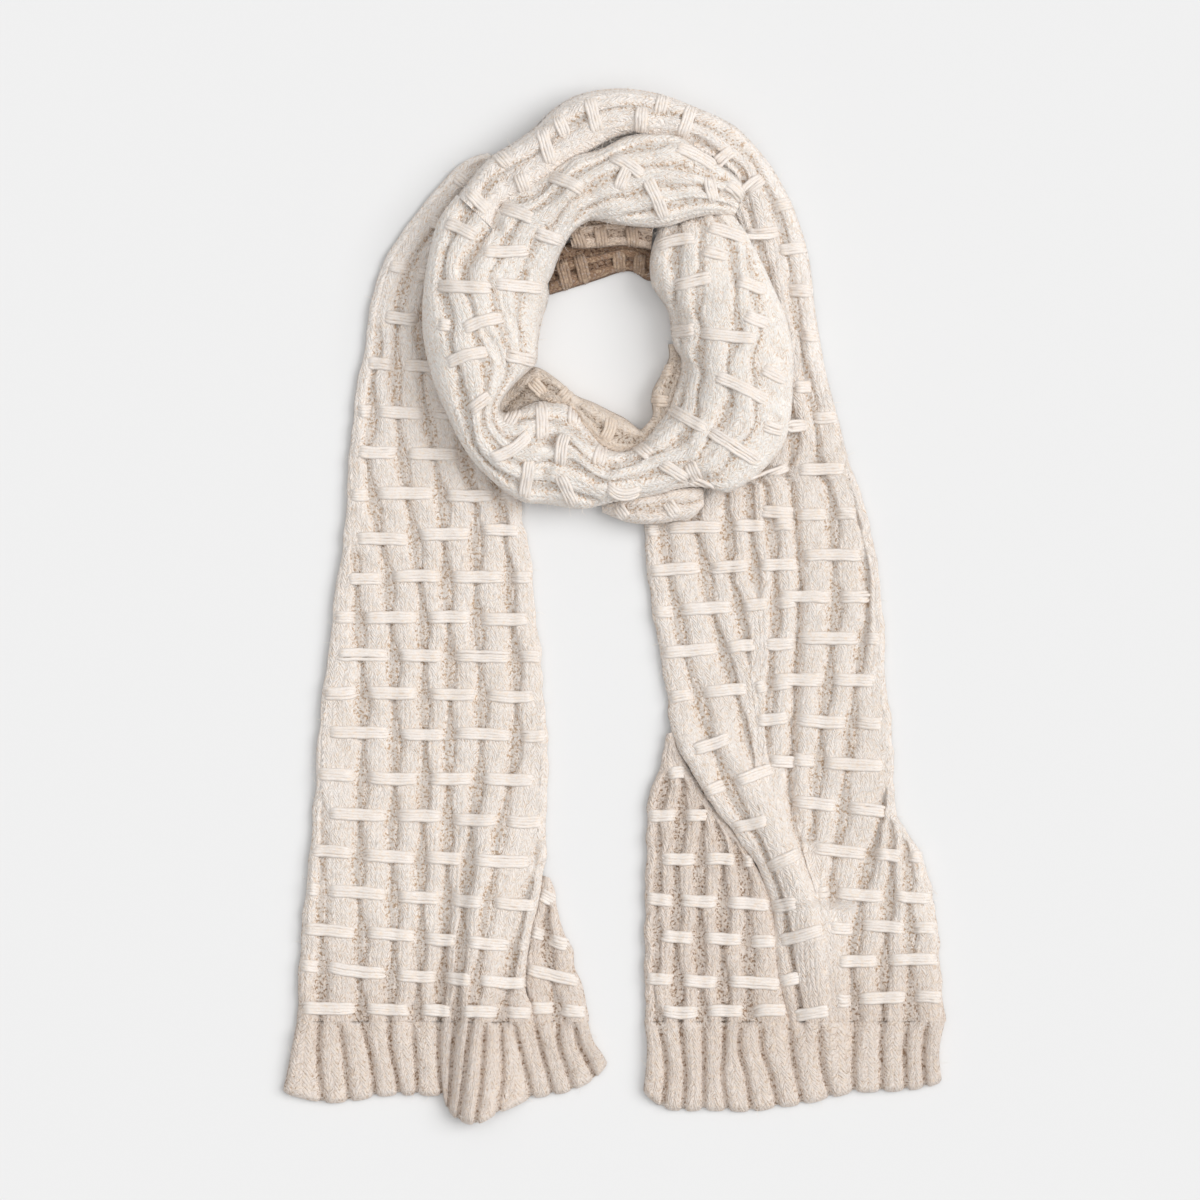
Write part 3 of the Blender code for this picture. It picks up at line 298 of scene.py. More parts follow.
LIMB = (
    (-106.6, 278.2, -44.2, 216, 11.4, 11.4, 40, 0.17, 0.39, 0.57, 0.78, 1, 1, 1),
    (-118.4, 262, -43.2, 210, 11.4, 8, 42, 0.17, 0.37, 0.57, 0.78, 1, 1, 1),
    (-124, 243, -44.4, 203, 11.4, 3, 43, 0.15, 0.34, 0.55, 0.77, 1, 1, 1),
    (-128, 222, -46.8, 195, 11.4, 1, 44, 0.19, 0.38, 0.58, 0.79, 1, 1, 1),
    (-130, 200, -49, 186, 11.4, 1, 45, 0.24, 0.45, 0.66, 0.83, 1, 1, 1),
    (-129.4, 182, -50.4, 175, 11.4, 1, 46, 0.27, 0.49, 0.72, 0.87, 1, 1, 1),
    (-126, 164, -51.6, 164, 11.4, 1, 46, 0.29, 0.54, 0.76, 0.9, 1, 1, 1),
    (-121, 147, -58.4, 157.4, 11.4, 4, 45, 0.3, 0.58, 0.8, 0.92, 1, 1, 1),
    (-113.6, 130, -67, 149.4, 11.4, 11.4, 44, 0.3, 0.58, 0.82, 0.93, 1, 1, 1),
    (-105.4, 113, -74.4, 140, 11.4, 11.4, 42, 0.28, 0.56, 0.8, 0.93, 1, 1, 1),
    (-96, 98.4, -76.6, 133.4, 11.4, 11.4, 41, 0.24, 0.52, 0.76, 0.92, 1, 1, 1),
    (-85, 86.6, -72.4, 131.6, 11.4, 11.4, 40, 0.2, 0.46, 0.7, 0.9, 1, 1, 1),
    (-72, 76, -65, 133.4, 11.4, 11.4, 40, 0.19, 0.42, 0.66, 0.87, 1, 1, 1),
    (-60, 69.6, -54.6, 138.2, 11.4, 8, 40, 0.19, 0.4, 0.62, 0.84, 1, 1, 1),
    (-45, 68.4, -43, 139.4, 1, 1, 40, 0.2, 0.42, 0.6, 0.8, 1, 1, 1),
    (-29, 65.8, -31, 137.6, 1, 1, 40, 0.18, 0.4, 0.6, 0.8, 1, 1, 1),
    (-15, 66, -19, 123, 1, 1, 40, 0.14, 0.4, 0.62, 0.84, 1, 1, 1),
    (0, 70.6, -8, 110, 6, 1, 39, 0.1, 0.38, 0.66, 0.9, 1, 1, 1),
    (15, 73, 4, 106, 11.4, 1, 38, 0.12, 0.42, 0.74, 0.96, 1, 1, 1),
    (30, 76, 14, 109, 11.4, 4, 38, 0.14, 0.42, 0.74, 0.95, 1, 1, 1),
    (46, 79.4, 22, 116, 11.4, 8, 39, 0.16, 0.4, 0.7, 0.93, 1, 1, 1),
    (62, 80, 29.2, 125.2, 11.4, 8, 40, 0.18, 0.42, 0.68, 0.92, 1, 1, 1),
    (76, 76.4, 35.4, 134, 11.4, 6, 42, 0.22, 0.46, 0.68, 0.9, 1, 1, 1),
    (92, 84, 39.8, 145, 11.4, 4, 43, 0.26, 0.5, 0.72, 0.9, 1, 1, 1),
    (105.6, 96, 43, 156, 11.4, 2, 44, 0.28, 0.52, 0.78, 0.92, 1, 1, 1),
    (115.6, 110, 44.6, 167, 11.4, 1, 45, 0.3, 0.52, 0.8, 0.93, 1, 1, 1),
    (120, 129, 39.6, 176, 11.4, 1, 45, 0.31, 0.54, 0.79, 0.93, 1, 1, 1),
    (121.2, 150, 37.4, 187, 11.4, 1, 45, 0.31, 0.52, 0.77, 0.92, 1, 1, 1),
    (121.4, 172, 36.2, 196, 11.4, 1, 44, 0.28, 0.48, 0.75, 0.92, 1, 1, 1),
    (116, 196, 33.4, 203, 11.4, 1, 43, 0.25, 0.43, 0.74, 0.91, 1, 1, 1),
    (108, 215, 28.4, 210, 11.4, 4, 41, 0.2, 0.35, 0.66, 0.86, 1, 1, 1),
    (100, 232, 24, 218, 11.4, 11.4, 39, 0.13, 0.27, 0.58, 0.79, 1, 1, 1),
    (90.6, 249.6, 23, 232, 11.4, 11.4, 36, 0.08, 0.2, 0.5, 0.75, 1, 1, 1),
    (81.6, 262, 25, 243, 13, 12, 32, 0.06, 0.2, 0.42, 0.7, 1, 1, 1),
    (75.6, 268.4, 28, 252, 12.6, 12.6, 25, 0.06, 0.2, 0.42, 0.7, 1, 1, 1),
    (75, 274, 28, 258, 12, 12, 14, 0.06, 0.2, 0.42, 0.7, 1, 1, 1),
)
INNER_LAYER = (
    (-70.5, 116.5, -81, 134, 0, 0, 4.8, 0.5),
    (-65.3, 123.3, -83, 145, 0, 0, 4.8, 0.5),
    (-57.7, 128.6, -76, 154, 0, 0, 4.8, 0.5),
    (-51.1, 135.8, -66, 158.5, 0, 0, 11, 0.5),
    (-44, 135.3, -54, 163, 0, 0, 16, 0.5),
    (-34.6, 134.6, -39.4, 155, 0, 0, 19, 0.5),
    (-29.9, 133.2, -27, 144.6, 0, 0, 19, 0.5),
    (-20.2, 118.9, -14, 139, 0, 0, 21, 0.5),
    (-9.2, 105.7, -3.6, 133.8, 0, 0, 21, 0.5),
    (2.6, 101.3, 8, 128, 0, 0, 21, 0.5),
    (12.4, 104.6, 17, 121, 0, 0, 20, 0.5),
    (23.1, 111.4, 20, 122, 0, 0, 19, 0.5),
    (33.8, 123.8, 25, 128, 0, 0, 19, 0.5),
    (40.4, 134.2, 24.6, 135.8, 0, 0, 19, 0.5),
    (44.4, 146, 24.8, 145.4, 0, 0, 18, 0.5),
    (47.4, 156.7, 31, 157, 0, 0, 16, 0.5),
    (48.9, 166.2, 36, 168, 0, 0, 12, 0.5),
    (47.4, 177.8, 35.6, 177, 0, 0, 7, 0.5),
)
FRONT_FLAP = (
    (-8, 63.6, -8.6, 69.4, 1, 0, 7, 0.5),
    (6, 57.2, 5.4, 74.6, 6, 5, 18, 0.5),
    (18, 55.2, 17, 76.6, 11.4, 10.4, 22, 0.5),
    (30, 55.6, 29.6, 79, 11.4, 10.4, 23, 0.5),
    (42, 57.2, 41.4, 81.6, 11.4, 10.4, 23, 0.5),
    (53, 59.4, 52, 82.4, 11.4, 10.4, 22, 0.5),
    (61, 67.4, 60.6, 81.2, 11.4, 10.4, 18, 0.5),
)
NECK_LOW = (
    (-46, 243, -43.4, 209.6, 0, 0, 4.8, 0.3, 0.65),
    (-24, 247, -22, 216.2, 0, 0, 4.8, 0.3, 0.65),
    (-8, 248, -8, 220.8, 0, 0, 4.8, 0.3, 0.65),
    (6, 248, 5, 225.2, 0, 0, 4.8, 0.3, 0.65),
    (16, 246, 13.4, 225, 0, 0, 4.8, 0.3, 0.65),
    (24, 242, 22, 219.6, 0, 0, 4.8, 0.3, 0.65),
    (31, 238, 30, 219, 0, 0, 4.8, 0.3, 0.65),
)
NECK_MID = (
    (-33, 262, -28, 241, 11.4, 11.4, 13.4, 0.3, 0.65),
    (-24, 266, -20, 240.6, 11.4, 11.4, 13.6, 0.3, 0.65),
    (-10, 268, -8, 241.4, 11.4, 11.4, 13.6, 0.3, 0.65),
    (8, 268, 8, 242.4, 11.4, 11.4, 13.6, 0.3, 0.65),
    (27, 262, 25, 239.6, 11.4, 11.4, 13.4, 0.3, 0.65),
)

# ---- folds: x, y, height along a crest; then the reach to its left and right ------------------------
LEFT_RIDGE = (((-84, -120, 0), (-86, -160, 6), (-91, -200, 9), (-97, -250, 10), (-96, -283, 11),
               (-94, -352, 11)), (44, 23))
LEFT_LIP = (((-46, -165, 0), (-53, -200, 5), (-57, -215, 6), (-61, -245, 6), (-58, -283, 3)), (15, 18))
RIGHT_RIDGE = (((60, -60, 0), (74, -95, 5), (92, -125, 8), (108, -150, 10), (122, -185, 11), (133, -215, 9),
                (139, -245, 6), (142, -283, 3), (143, -320, 0)), (20, 24))
RIGHT_LIP = (((37, -70, 0), (46, -98, 7), (59, -122, 8), (76, -148, 6), (93, -168, 3), (106, -200, 0)),
             (22, 10))
RIGHT_FLARE = (((180, -125, 0), (191, -165, 2), (200, -200, 3), (206, -250, 0)), (22, 22))
RIGHT_VALLEY = (((121, 96, 0), (122, 60, -1.4), (126, 15, -1.6), (124, -30, -1.6), (122, -80, -1.6),
                 (119, -122, -1.8), (127, -162, -1.8), (140, -204, -1.4), (146, -245, -1), (150, -283, 0)),
                (7, 7))
# troughs of the right tail that close down it: where they start to close, and where they are closed
RIGHT_FADES = {2: (-100, -124), 3: (-30, -50), 4: (15, -5), 5: (-96, -116)}
# the trough between that tail's two parts: half its width, and where it closes
SEAM_TROUGH, SEAM_CLOSES = 1.5, (-150, -205)

# ---- creases in the loop's cloth: crest and reach, as the folds ---------------------------------------
LOOP_CREASES = (
    (((-82, 257, -4), (-90, 248, -4), (-97, 236, -3), (-104, 222, 0)), (9, 9)),
    (((-91, 190, 0), (-86, 183, -2.5), (-79, 172, -2), (-75, 160, -2.5), (-79, 146, 0)), (5, 5)),
    (((-78, 212, 0), (-70, 194, -2), (-64, 181, 0)), (4, 4)),
    (((-50, 104, 0), (-42, 110, -5), (-36, 118, 0)), (8, 7)),
    (((-52, 84, 0), (-47, 91, -4), (-42, 97, 0)), (6, 6)),
    (((-33, 122, 0), (-26, 121, -3), (-17, 120, -3), (-11, 114, -4), (-10, 108, 0)), (5, 5)),
    (((-27, 76, 0), (-15, 84, -3), (-4, 92, -3), (4, 99, 0)), (7, 7)),
    (((2, 98, 0), (8, 100, -4), (14, 102, 0)), (5, 5)),
    (((48, 132, 0), (54, 141, -2), (60, 152, 0)), (6, 6)),
    (((67, 122, 0), (74, 133, -3), (80, 145, 0)), (4, 4)),
    (((57, 97, 0), (64, 103, -3.5), (71, 109, 0)), (5, 4)),
    (((40, 105, 0), (43, 114, -2.5), (46, 122, 0)), (4, 4)),
    (((80, 117, 0), (86, 121, -2), (92, 127, 0)), (4, 4)),
    (((107, 178, 0), (111, 170, -5), (117, 163, -4), (120, 156, 0)), (6, 5)),
    (((103, 202, 0), (110, 193, -3), (119, 186, 0)), (5, 5)),
    (((102, 150, 0), (105, 142, -4), (111, 148, 0)), (5, 5)),
    (((104, 132, 0), (109, 126, -4), (111, 121, 0)), (5, 5)),
    (((34, 250, 0), (38, 252, -5), (43, 256, 0)), (5, 5)),
)

# ---- floats laid across the loop one by one: x, y of each end, and how far it bows to the left ----------
WRAP_FLOATS = (
    (-119, 216, -83, 214, 0), (-81, 217, -48, 214, 0), (-102, 186, -75, 194, 1.5), (-113, 163, -86, 171, 2),
    (-73, 169, -54, 165, 0), (-114, 259, -93, 249, 0.5), (-77, 269, -55, 261, 0.5), (-89, 239, -58, 240, 0),
    (-53, 252, -35, 246, 0), (-84, 99, -57, 116, -3), (-61, 72, -57, 97, 0), (-37, 88, -27, 67, 0),
    (-33, 115, -36, 95, -1), (-50, 137, -49, 112, 0.5), (-27, 138, -27, 122, 0), (-8, 107, -11, 95, 0),
    (-5, 81, 18, 78, -5), (32, 96, 50, 85, 0), (50, 84, 67, 77, 0), (51, 96, 57, 84, 0),
    (13, 110, 25, 101, 0),
    (36, 134, 62, 119, 0), (64, 118, 97, 97, 0), (68, 155, 103, 138, 1), (40, 185, 55, 187, 0),
    (58, 184, 97, 180, 0), (41, 216, 66, 222, 0), (83, 220, 103, 213, 0), (29, 243, 55, 248, 1),
    (63, 256, 89, 248, 1), (22, 288, 34, 261, 0.5), (3, 280, 10, 297, 0), (-44, 290, -21, 280, 1),
    (42, 310, 68, 297, 1), (-2, 303, 19, 290, 1.5), (64, 290, 68, 273, 0), (76, 285, 88, 273, 1.5),
    (-119, 190, -110, 189, 0), (100, 160, 116, 152, 0), (101, 122, 114, 118, 0), (88, 196, 104, 190, 0),
    (-98, 131, -84, 142, 0), (-72, 122, -66, 133, 0), (60, 240, 76, 236, 0),
)
ARC_FLOATS = (
    (-99, 280, -85, 266, 0), (-80, 307, -72, 298, 0), (-49, 322, -42, 298, 0), (-64, 292, -60, 280, 0),
    (-17, 343, -11, 320, 0), (19, 337, 18, 320, 0), (53, 338, 46, 317, 0), (80, 308, 69, 299, 0),
    (88, 280, 101, 290, 0), (108, 270, 123, 274, 0), (90, 252, 112, 254, -1), (119, 214, 136, 213, 0),
    (128, 184, 141, 182, 0), (122, 148, 134, 148, 0), (136, 127, 152, 128, 0), (118, 121, 130, 122, 0),
    (125, 92, 157, 93, 0), (93, 83, 119, 93, 0), (112, 241, 131, 243, 0), (34, 347, 31, 333, 0),
    (-38, 330, -33, 318, 0),
)
INNER_FLOATS = (
    (-2, 127, -7, 112, 2), (24, 139, 37, 138, 0), (-56, 152, -48, 143, 0), (-30, 147, -36, 140, 0),
    (28, 158, 40, 160, 0),
)
NECK_LOW_FLOATS = (
    (-24, 238, -19, 219, 0), (3, 240, 4, 226, 0), (18, 238, 17, 224, 0), (-36, 234, -31, 215, 0),
)
NECK_MID_FLOATS = ((-10, 257, -8, 243, 0), (12, 258, 13, 243, 0), (-26, 254, -22, 242, 0))
FLAP_FLOATS = ((2, 68, 8, 59, 0), (36, 70, 42, 61, 0))
# across the valley between the right tail's two parts, and on its diagonal fold
VALLEY_FLOATS = (
    (100, 64, 122, 63, 0), (112, 6, 142, 6, 0), (108, -51, 141, -52, 0),
    (54, -98, 78, -90, 0), (83, -120, 107, -111, 0), (62, -127, 75, -122, 0), (78, -152, 104, -146, 0),
    (105, -178, 126, -168, 0), (108, -205, 124, -202, 0), (113, -228, 141, -220, 0),
    (113, -256, 126, -253, 0), (123, -279, 146, -275, 0), (106, -106, 123, -107, 0),
    (97, -78, 118, -76, 0),
)


# ---- curves and noise ------------------------------------------------------------------------------
def rows_at(table, at):
    """The table's columns at places along its first column, on smooth curves through its rows."""
    rows = np.asarray(table, float)
    if rows[0, 0] > rows[-1, 0]:
        rows = rows[::-1]
    x, q = rows[:, 0], rows[:, 1:]
    m = np.empty_like(q)
    m[1:-1] = (q[2:] - q[:-2]) / (x[2:] - x[:-2])[:, None]
    m[0] = (q[1] - q[0]) / (x[1] - x[0])
    m[-1] = (q[-1] - q[-2]) / (x[-1] - x[-2])
    i = np.clip(np.searchsorted(x, at) - 1, 0, len(x) - 2)
    h = (x[i + 1] - x[i])[:, None]
    t = (at - x[i])[:, None] / h
    a, b, c, d = 2 * t**3 - 3 * t**2 + 1, t**3 - 2 * t**2 + t, 3 * t**2 - 2 * t**3, t**3 - t**2
    return a * q[i] + b * h * m[i] + c * q[i + 1] + d * h * m[i + 1]


def ripple(x, y, size, seed):
    """Smooth noise between about -1 and 1, of waves about this size."""
    draw = np.random.default_rng(seed)
    total = 0.0
    for _ in range(6):
        turn, shift = draw.uniform(0, 2 * math.pi, 2)
        wave = 2 * math.pi / (size * draw.uniform(0.7, 1.6))
        total = total + np.sin(wave * (x * math.cos(turn) + y * math.sin(turn)) + shift)
    return total / 3.2


def waves(x, y, kind, seed):
    """Noise of a height and a size."""
    height, size = kind
    return height * ripple(x, y, size, seed)


def phase_at(rows, at):
    """Place along the rows of floats, counted in rows."""
    rows = np.asarray(rows, float)
    n = np.arange(len(rows), dtype=float)
    if rows[0] > rows[-1]:
        rows, n = rows[::-1], n[::-1]
    inside = np.interp(at, rows, n)
    low = n[0] + (at - rows[0]) * (n[1] - n[0]) / (rows[1] - rows[0])
    high = n[-1] + (at - rows[-1]) * (n[-1] - n[-2]) / (rows[-1] - rows[-2])
    return np.where(at < rows[0], low, np.where(at > rows[-1], high, inside))


def fold_lift(x, y, fold):
    """Height that a fold adds: a rounded ridge that reaches out to each side of its crest."""
    crest, reach = fold
    best = np.full(x.shape, 1e9)
    lift = np.zeros(x.shape)
    for (x0, y0, h0), (x1, y1, h1) in zip(crest, crest[1:]):
        dx, dy = x1 - x0, y1 - y0
        t = np.clip(((x - x0) * dx + (y - y0) * dy) / (dx * dx + dy * dy), 0, 1)
        px, py = x - x0 - t * dx, y - y0 - t * dy
        far = np.hypot(px, py)
        share = np.minimum(far / np.where(dx * py - dy * px > 0, reach[0], reach[1]), 1)
        here = (h0 + (h1 - h0) * t) * np.cos(share * math.pi / 2) ** 2
        closer = far < best
        lift = np.where(closer, here, lift)
        best = np.where(closer, far, best)
    return lift


# ---- cloth -----------------------------------------------------------------------------------------
class Band:
    """Rows across a stretch of cloth.

    along: distance along it; lines: points on its edges and troughs; under: height of its underside
    at either edge; crown: height of its middle; half: half the width of each trough; closed: how far
    each trough has closed; power, inset, side: its profile; swell: the room left at either edge for
    the ribs that bulge over it.
    """

    FIELDS = ("along", "lines", "under", "crown", "half", "closed", "power", "inset", "side", "swell")

    def __init__(self, *rows):
        for name, value in zip(self.FIELDS, rows):
            setattr(self, name, value)

    def fields(self):
        """All its rows, in order."""
        return [getattr(self, name) for name in self.FIELDS]

    def backwards(self):
        """The same cloth, told from its other end."""
        out = Band(*(value[::-1] for value in self.fields()))
        out.along = -out.along
        return out

    def flipped(self):
        """The same cloth, told from its other edge."""
        out = Band(*self.fields())
        for name in ("lines", "under", "half", "closed"):
            setattr(out, name, getattr(self, name)[:, ::-1])
        return out

    def then(self, other, skip=1):
        """This cloth and the next stretch of it."""
        out = Band(*(np.concatenate([a, b[skip:]]) for a, b in zip(self.fields(), other.fields())))
        out.along = np.concatenate([self.along, (other.along - other.along[0] + self.along[-1])[skip:]])
        return out


def flat_lines(table, at):
    """Where a tail's edges and troughs are at places down it, on slanted rows."""
    low, high = min(table[0][0], table[-1][0]), max(table[0][0], table[-1][0])
    row = rows_at(table, at)
    slant, guess = row[:, 0], row[:, 1:]
    out = np.empty((len(at), guess.shape[1], 2))
    for k in range(guess.shape[1]):
        share = (guess[:, k] - guess[:, 0]) / (guess[:, -1] - guess[:, 0])
        y = np.clip(at + slant * (share - 0.5), low, high)
        out[:, k, 0] = rows_at(table, y)[:, 1 + k]
        out[:, k, 1] = y
    return out


def trough_halves(phase, count):
    """Half widths of the troughs: wide beside the gap between two floats, narrow under one."""
    k = np.arange(count)[None, :]
    gap = 0.5 - 0.5 * np.cos(math.pi * (phase[:, None] - TROUGH_LATE + k))
    return TROUGH_NARROW + (TROUGH_WIDE - TROUGH_NARROW) * gap


def near_edges(lines):
    """How far each trough has closed because it runs into an edge."""
    first = np.linalg.norm(lines - lines[:, :1], axis=2)
    last = np.linalg.norm(lines - lines[:, -1:], axis=2)
    closed = np.clip((CLOSED_WITHIN - np.minimum(first, last)) / CLOSED_OVER, 0, 1)
    closed[:, [0, -1]] = 0.0
    return closed


def flat_band(at, lines, half, closed):
    """A flat tail of ribbed cloth."""
    n = len(at)
    profile = [np.full(n, value) for value in (FLAT_POWER, FLAT_INSET, FLAT_SIDE, 0.0)]
    return Band(-at, lines, np.zeros((n, 2)), np.full(n, CLOTH_BASE), half, closed, *profile)


def tail_band(table, rows, first, fades=None):
    """A tail from its table; the fades close troughs from one place down it to the next."""
    top, bottom = table[0][0], table[-1][0]
    at = np.linspace(top, bottom, int(abs(top - bottom) / STEP) + 1)
    lines = flat_lines(table, at)
    lines[:, 0, 0] += 0.8 * ripple(at, 0.0, 24, 90 + first)
    lines[:, -1, 0] += 0.8 * ripple(at, 50.0, 24, 92 + first)
    half = trough_halves(phase_at(rows, at) + first, lines.shape[1])
    closed = near_edges(lines)
    for k, (start, end) in (fades or {}).items():
        closed[:, k] = np.maximum(closed[:, k], np.clip((start - at) / (start - end), 0, 1))
    return flat_band(at, lines, half, closed)


def stations(table):
    """Stations with the distance along the middle of the cloth put in front of each."""
    rows = np.asarray(table, float)
    middle = (rows[:, 0:2] + rows[:, 2:4]) / 2
    run = np.concatenate([[0], np.cumsum(np.hypot(*np.diff(middle, axis=0).T))])
    return np.concatenate([run[:, None], rows], axis=1)


def roll_lines(table, at):
    """Where a roll's edges and troughs are at places along it, and its undersides and crown."""
    row = rows_at(table, at)
    a, b = row[:, 0:2], row[:, 2:4]
    edge = np.zeros((len(at), 1))
    shares = np.concatenate([edge, np.clip(row[:, 7:], 0, 1), edge + 1], axis=1)
    shares = np.maximum.accumulate(shares, axis=1)
    lines = a[:, None] + (b - a)[:, None] * shares[:, :, None]
    return lines, np.maximum(row[:, 4:6], 0), row[:, 6]


def roll_band(table, power, inset, side, swell, seed, settle=0.0, wander=0.0):
    """A rounded roll of the loop. Over its first stretch it settles from a flat tail's profile into
    its own, and its troughs may wander."""
    table = stations(table)
    length = table[-1, 0]
    at = np.linspace(0, length, int(length / STEP) + 1)
    lines, under, crown = roll_lines(table, at)
    if wander:
        across = lines[:, -1] - lines[:, 0]
        across /= np.linalg.norm(across, axis=1)[:, None]
        inside = np.clip(np.minimum(at, length - at) / 30, 0, 1)
        for k in range(1, lines.shape[1] - 1):
            room = np.minimum(*(np.linalg.norm(lines[:, k] - lines[:, end], axis=1) for end in (0, -1)))
            shift = wander * ripple(at, 41.0 * k, 30, seed + 7) * inside * np.clip(room / 16 - 0.3, 0, 1)
            lines[:, k] += across * shift[:, None]
    half = LOOP_TROUGHS * trough_halves(at / ROW_PITCH + 0.4 * seed, lines.shape[1])
    t = np.clip(at / settle, 0, 1) if settle else np.ones(len(at))
    t = t * t * (3 - 2 * t)
    starts, ends = (FLAT_POWER, FLAT_INSET, FLAT_SIDE, 0.0), (power, inset, side, swell)
    profile = [start + (end - start) * t for start, end in zip(starts, ends)]
    return Band(at, lines, under, crown, half, near_edges(lines), *profile)


def dome(f, width, rise, power):
    """Height over the sides and the outward normal of a rounded section at a share of its width."""
    u = np.minimum(np.abs(2 * f - 1), 0.985)
    z = rise * (1 - u**power) ** (1 / power)
    slope = -rise * u ** (power - 1) * (1 - u**power) ** (1 / power - 1) * 2 / width
    slope = np.where(f > 0.5, slope, -slope)
    size = np.hypot(slope, 1)
    return z, -slope / size, 1 / size


class Fabric:
    """Points of ribbed cloth over a band: knit ribs, purl troughs, rounded edges and a plain underside."""

    def __init__(self, band, seed, folds=(), creases=()):
        self.rows, count = band.lines.shape[:2]
        self.band = band
        self.points, self.su, self.cave = [], [], []
        span = band.lines[:, -1] - band.lines[:, 0]
        full = np.hypot(span[:, 0], span[:, 1])
        self.across = span / full[:, None]
        self.give = np.minimum(band.swell, full * 0.08)
        self.width = full - 2 * self.give
        self.reach = np.einsum("ijk,ik->ij", band.lines - band.lines[:, :1], self.across)
        self.reach -= self.give[:, None]
        self.reach[:, 0], self.reach[:, -1] = 0.0, self.width
        self.side = [band.under[:, k] + (band.crown - band.under[:, k]) * band.side for k in (0, 1)]
        self.knit_ribs(count - 1, seed)
        self.top = len(self.points)
        self.underside(4 * (count - 1))
        self.points = np.stack(self.points, axis=1)
        self.su, self.cave = np.stack(self.su, axis=1), np.stack(self.cave, axis=1)
        self.sv = (band.along / STITCH_ROW)[:, None]
        self.bend(seed, folds, creases)

    def bend(self, seed, folds, creases):
        """Lifts the cloth over its folds, and creases and roughens its upper side; a crease's depth also
        paints it darker, as shade.
        """
        x, y = self.points[:, :, 0], self.points[:, :, 1]
        self.points[:, :, 2] += sum((fold_lift(x, y, fold) for fold in folds), np.zeros(x.shape))
        top = np.s_[:, : self.top]
        dip = sum((fold_lift(x, y, crease) for crease in creases), np.zeros(x.shape))
        self.points[:, :, 2][top] += CREASE_DEPTH * dip[top]
        # a crease's depth adds to the cave, which paints the crease darker as shade
        self.cave[top] = np.clip(self.cave[top] + 0.2 * np.clip(-dip[top] - 0.8, 0, 3), 0, 1)
        rough = waves(x, y, COARSE, seed) + waves(x, y, FINE, seed + 1)
        rolled = np.clip(FLAT_POWER - self.band.power, 0, 1)[:, None]
        self.points[:, :, 2][top] += (rough + rolled * waves(x, y, CRUMPLE, seed + 3))[top]
        flat = np.clip(self.band.power - 4, 0, 1)[:, None]
        self.points[:, :, 0][top] += (waves(x, y, SWAY, seed + 2) * flat)[top]

    def put(self, k, g, relief, deep):
        """One column of points between lines k and k + 1, at the share g."""
        lines, reach = self.band.lines, self.reach
        r = reach[:, k] + (reach[:, k + 1] - reach[:, k]) * g
        beside = np.clip(1 - np.minimum(r, self.width - r) / EDGE_ROUND, 0, 1)
        relief = relief * (0.1 + 0.9 * np.sqrt(1 - beside**2))
        xy = lines[:, k] + (lines[:, k + 1] - lines[:, k]) * g[:, None]
        shift = r - np.einsum("ij,ij->i", xy - lines[:, 0], self.across)
        f = r / self.width
        base = self.side[0] + (self.side[1] - self.side[0]) * f
        z, nx, nz = dome(f, self.width, self.band.crown - base, self.band.power)
        xy = xy + self.across * (shift + relief * nx)[:, None]
        self.points.append(np.concatenate([xy, (base + z + relief * nz)[:, None]], axis=1))
        self.su.append(self.count_at(k, g))
        self.cave.append(deep)

    def count_at(self, k, g):
        """Columns of stitches across, counted from the middle of the rib."""
        r = self.reach[:, k] + (self.reach[:, k + 1] - self.reach[:, k]) * g
        return 2 + (r - self.middle[:, k]) / STITCH_WIDE

    def find_ribs(self, ribs):
        """The middle of each rib, which moves as the troughs beside it close."""
        closed = self.band.closed
        left, right = self.reach[:, :-1].copy(), self.reach[:, 1:].copy()
        for k in range(1, ribs):
            left[:, k] += (left[:, k - 1] - left[:, k]) * closed[:, k]
        for k in range(ribs - 2, -1, -1):
            right[:, k] += (right[:, k + 1] - right[:, k]) * closed[:, k + 1]
        self.middle = (left + right) / 2

    def knit_ribs(self, ribs, seed):
        """Ribs with columns of knit stitches, and the purl troughs between them."""
        half, closed = self.band.half, self.band.closed
        self.find_ribs(ribs)
        room = np.maximum(self.reach[:, 1:] - self.reach[:, :-1], LEAST_RIB)
        share = np.minimum(room / RIB_FULL, 1.0)
        share = np.maximum(share, np.maximum(closed[:, :-1], closed[:, 1:]))
        run = self.band.along / STITCH_ROW
        uneven = RIB_UNEVEN * ripple(self.band.along[:, None], 2 * self.middle, 60, seed + 5)
        flat = np.clip(self.band.power - 5, 0, 1)
        crest = RIB_RELIEF * share * (1 + uneven) * (0.84 + 0.16 * flat)[:, None]
        for k in range(ribs):
            open_low, open_high = (1 - closed[:, k]), (1 - closed[:, k + 1])
            low = np.minimum(half[:, k] / room[:, k], TROUGH_MOST) * (k > 0) * open_low
            high = 1 - np.minimum(half[:, k + 1] / room[:, k], TROUGH_MOST) * (k < ribs - 1) * open_high
            for j in range(2 * RIB_SIDE + 1):
                t = j / RIB_SIDE - 1
                t = t * (1.12 - 0.12 * t * t)
                g = low + (high - low) * (0.5 + 0.5 * t)
                depth = open_low * (0.5 - 0.5 * t) + open_high * (0.5 + 0.5 * t)
                form = (1 - min(abs(t), 1.0) ** RIB_SQUARE) ** 0.5
                lively = 1 + LIVELY * ripple(self.band.along, 9.0 * j + 31.0 * k, 8, seed + 6)
                calm = 1 - 0.5 * flat * np.maximum(closed[:, k], closed[:, k + 1])
                bump = share[:, k] * lively * calm * self.stitch(k, g, run)
                self.put(k, g, crest[:, k] * (1 - depth * (1 - form)) + bump, depth * (1 - form))
            if k < ribs - 1:
                self.purl_trough(k, room, crest, run)

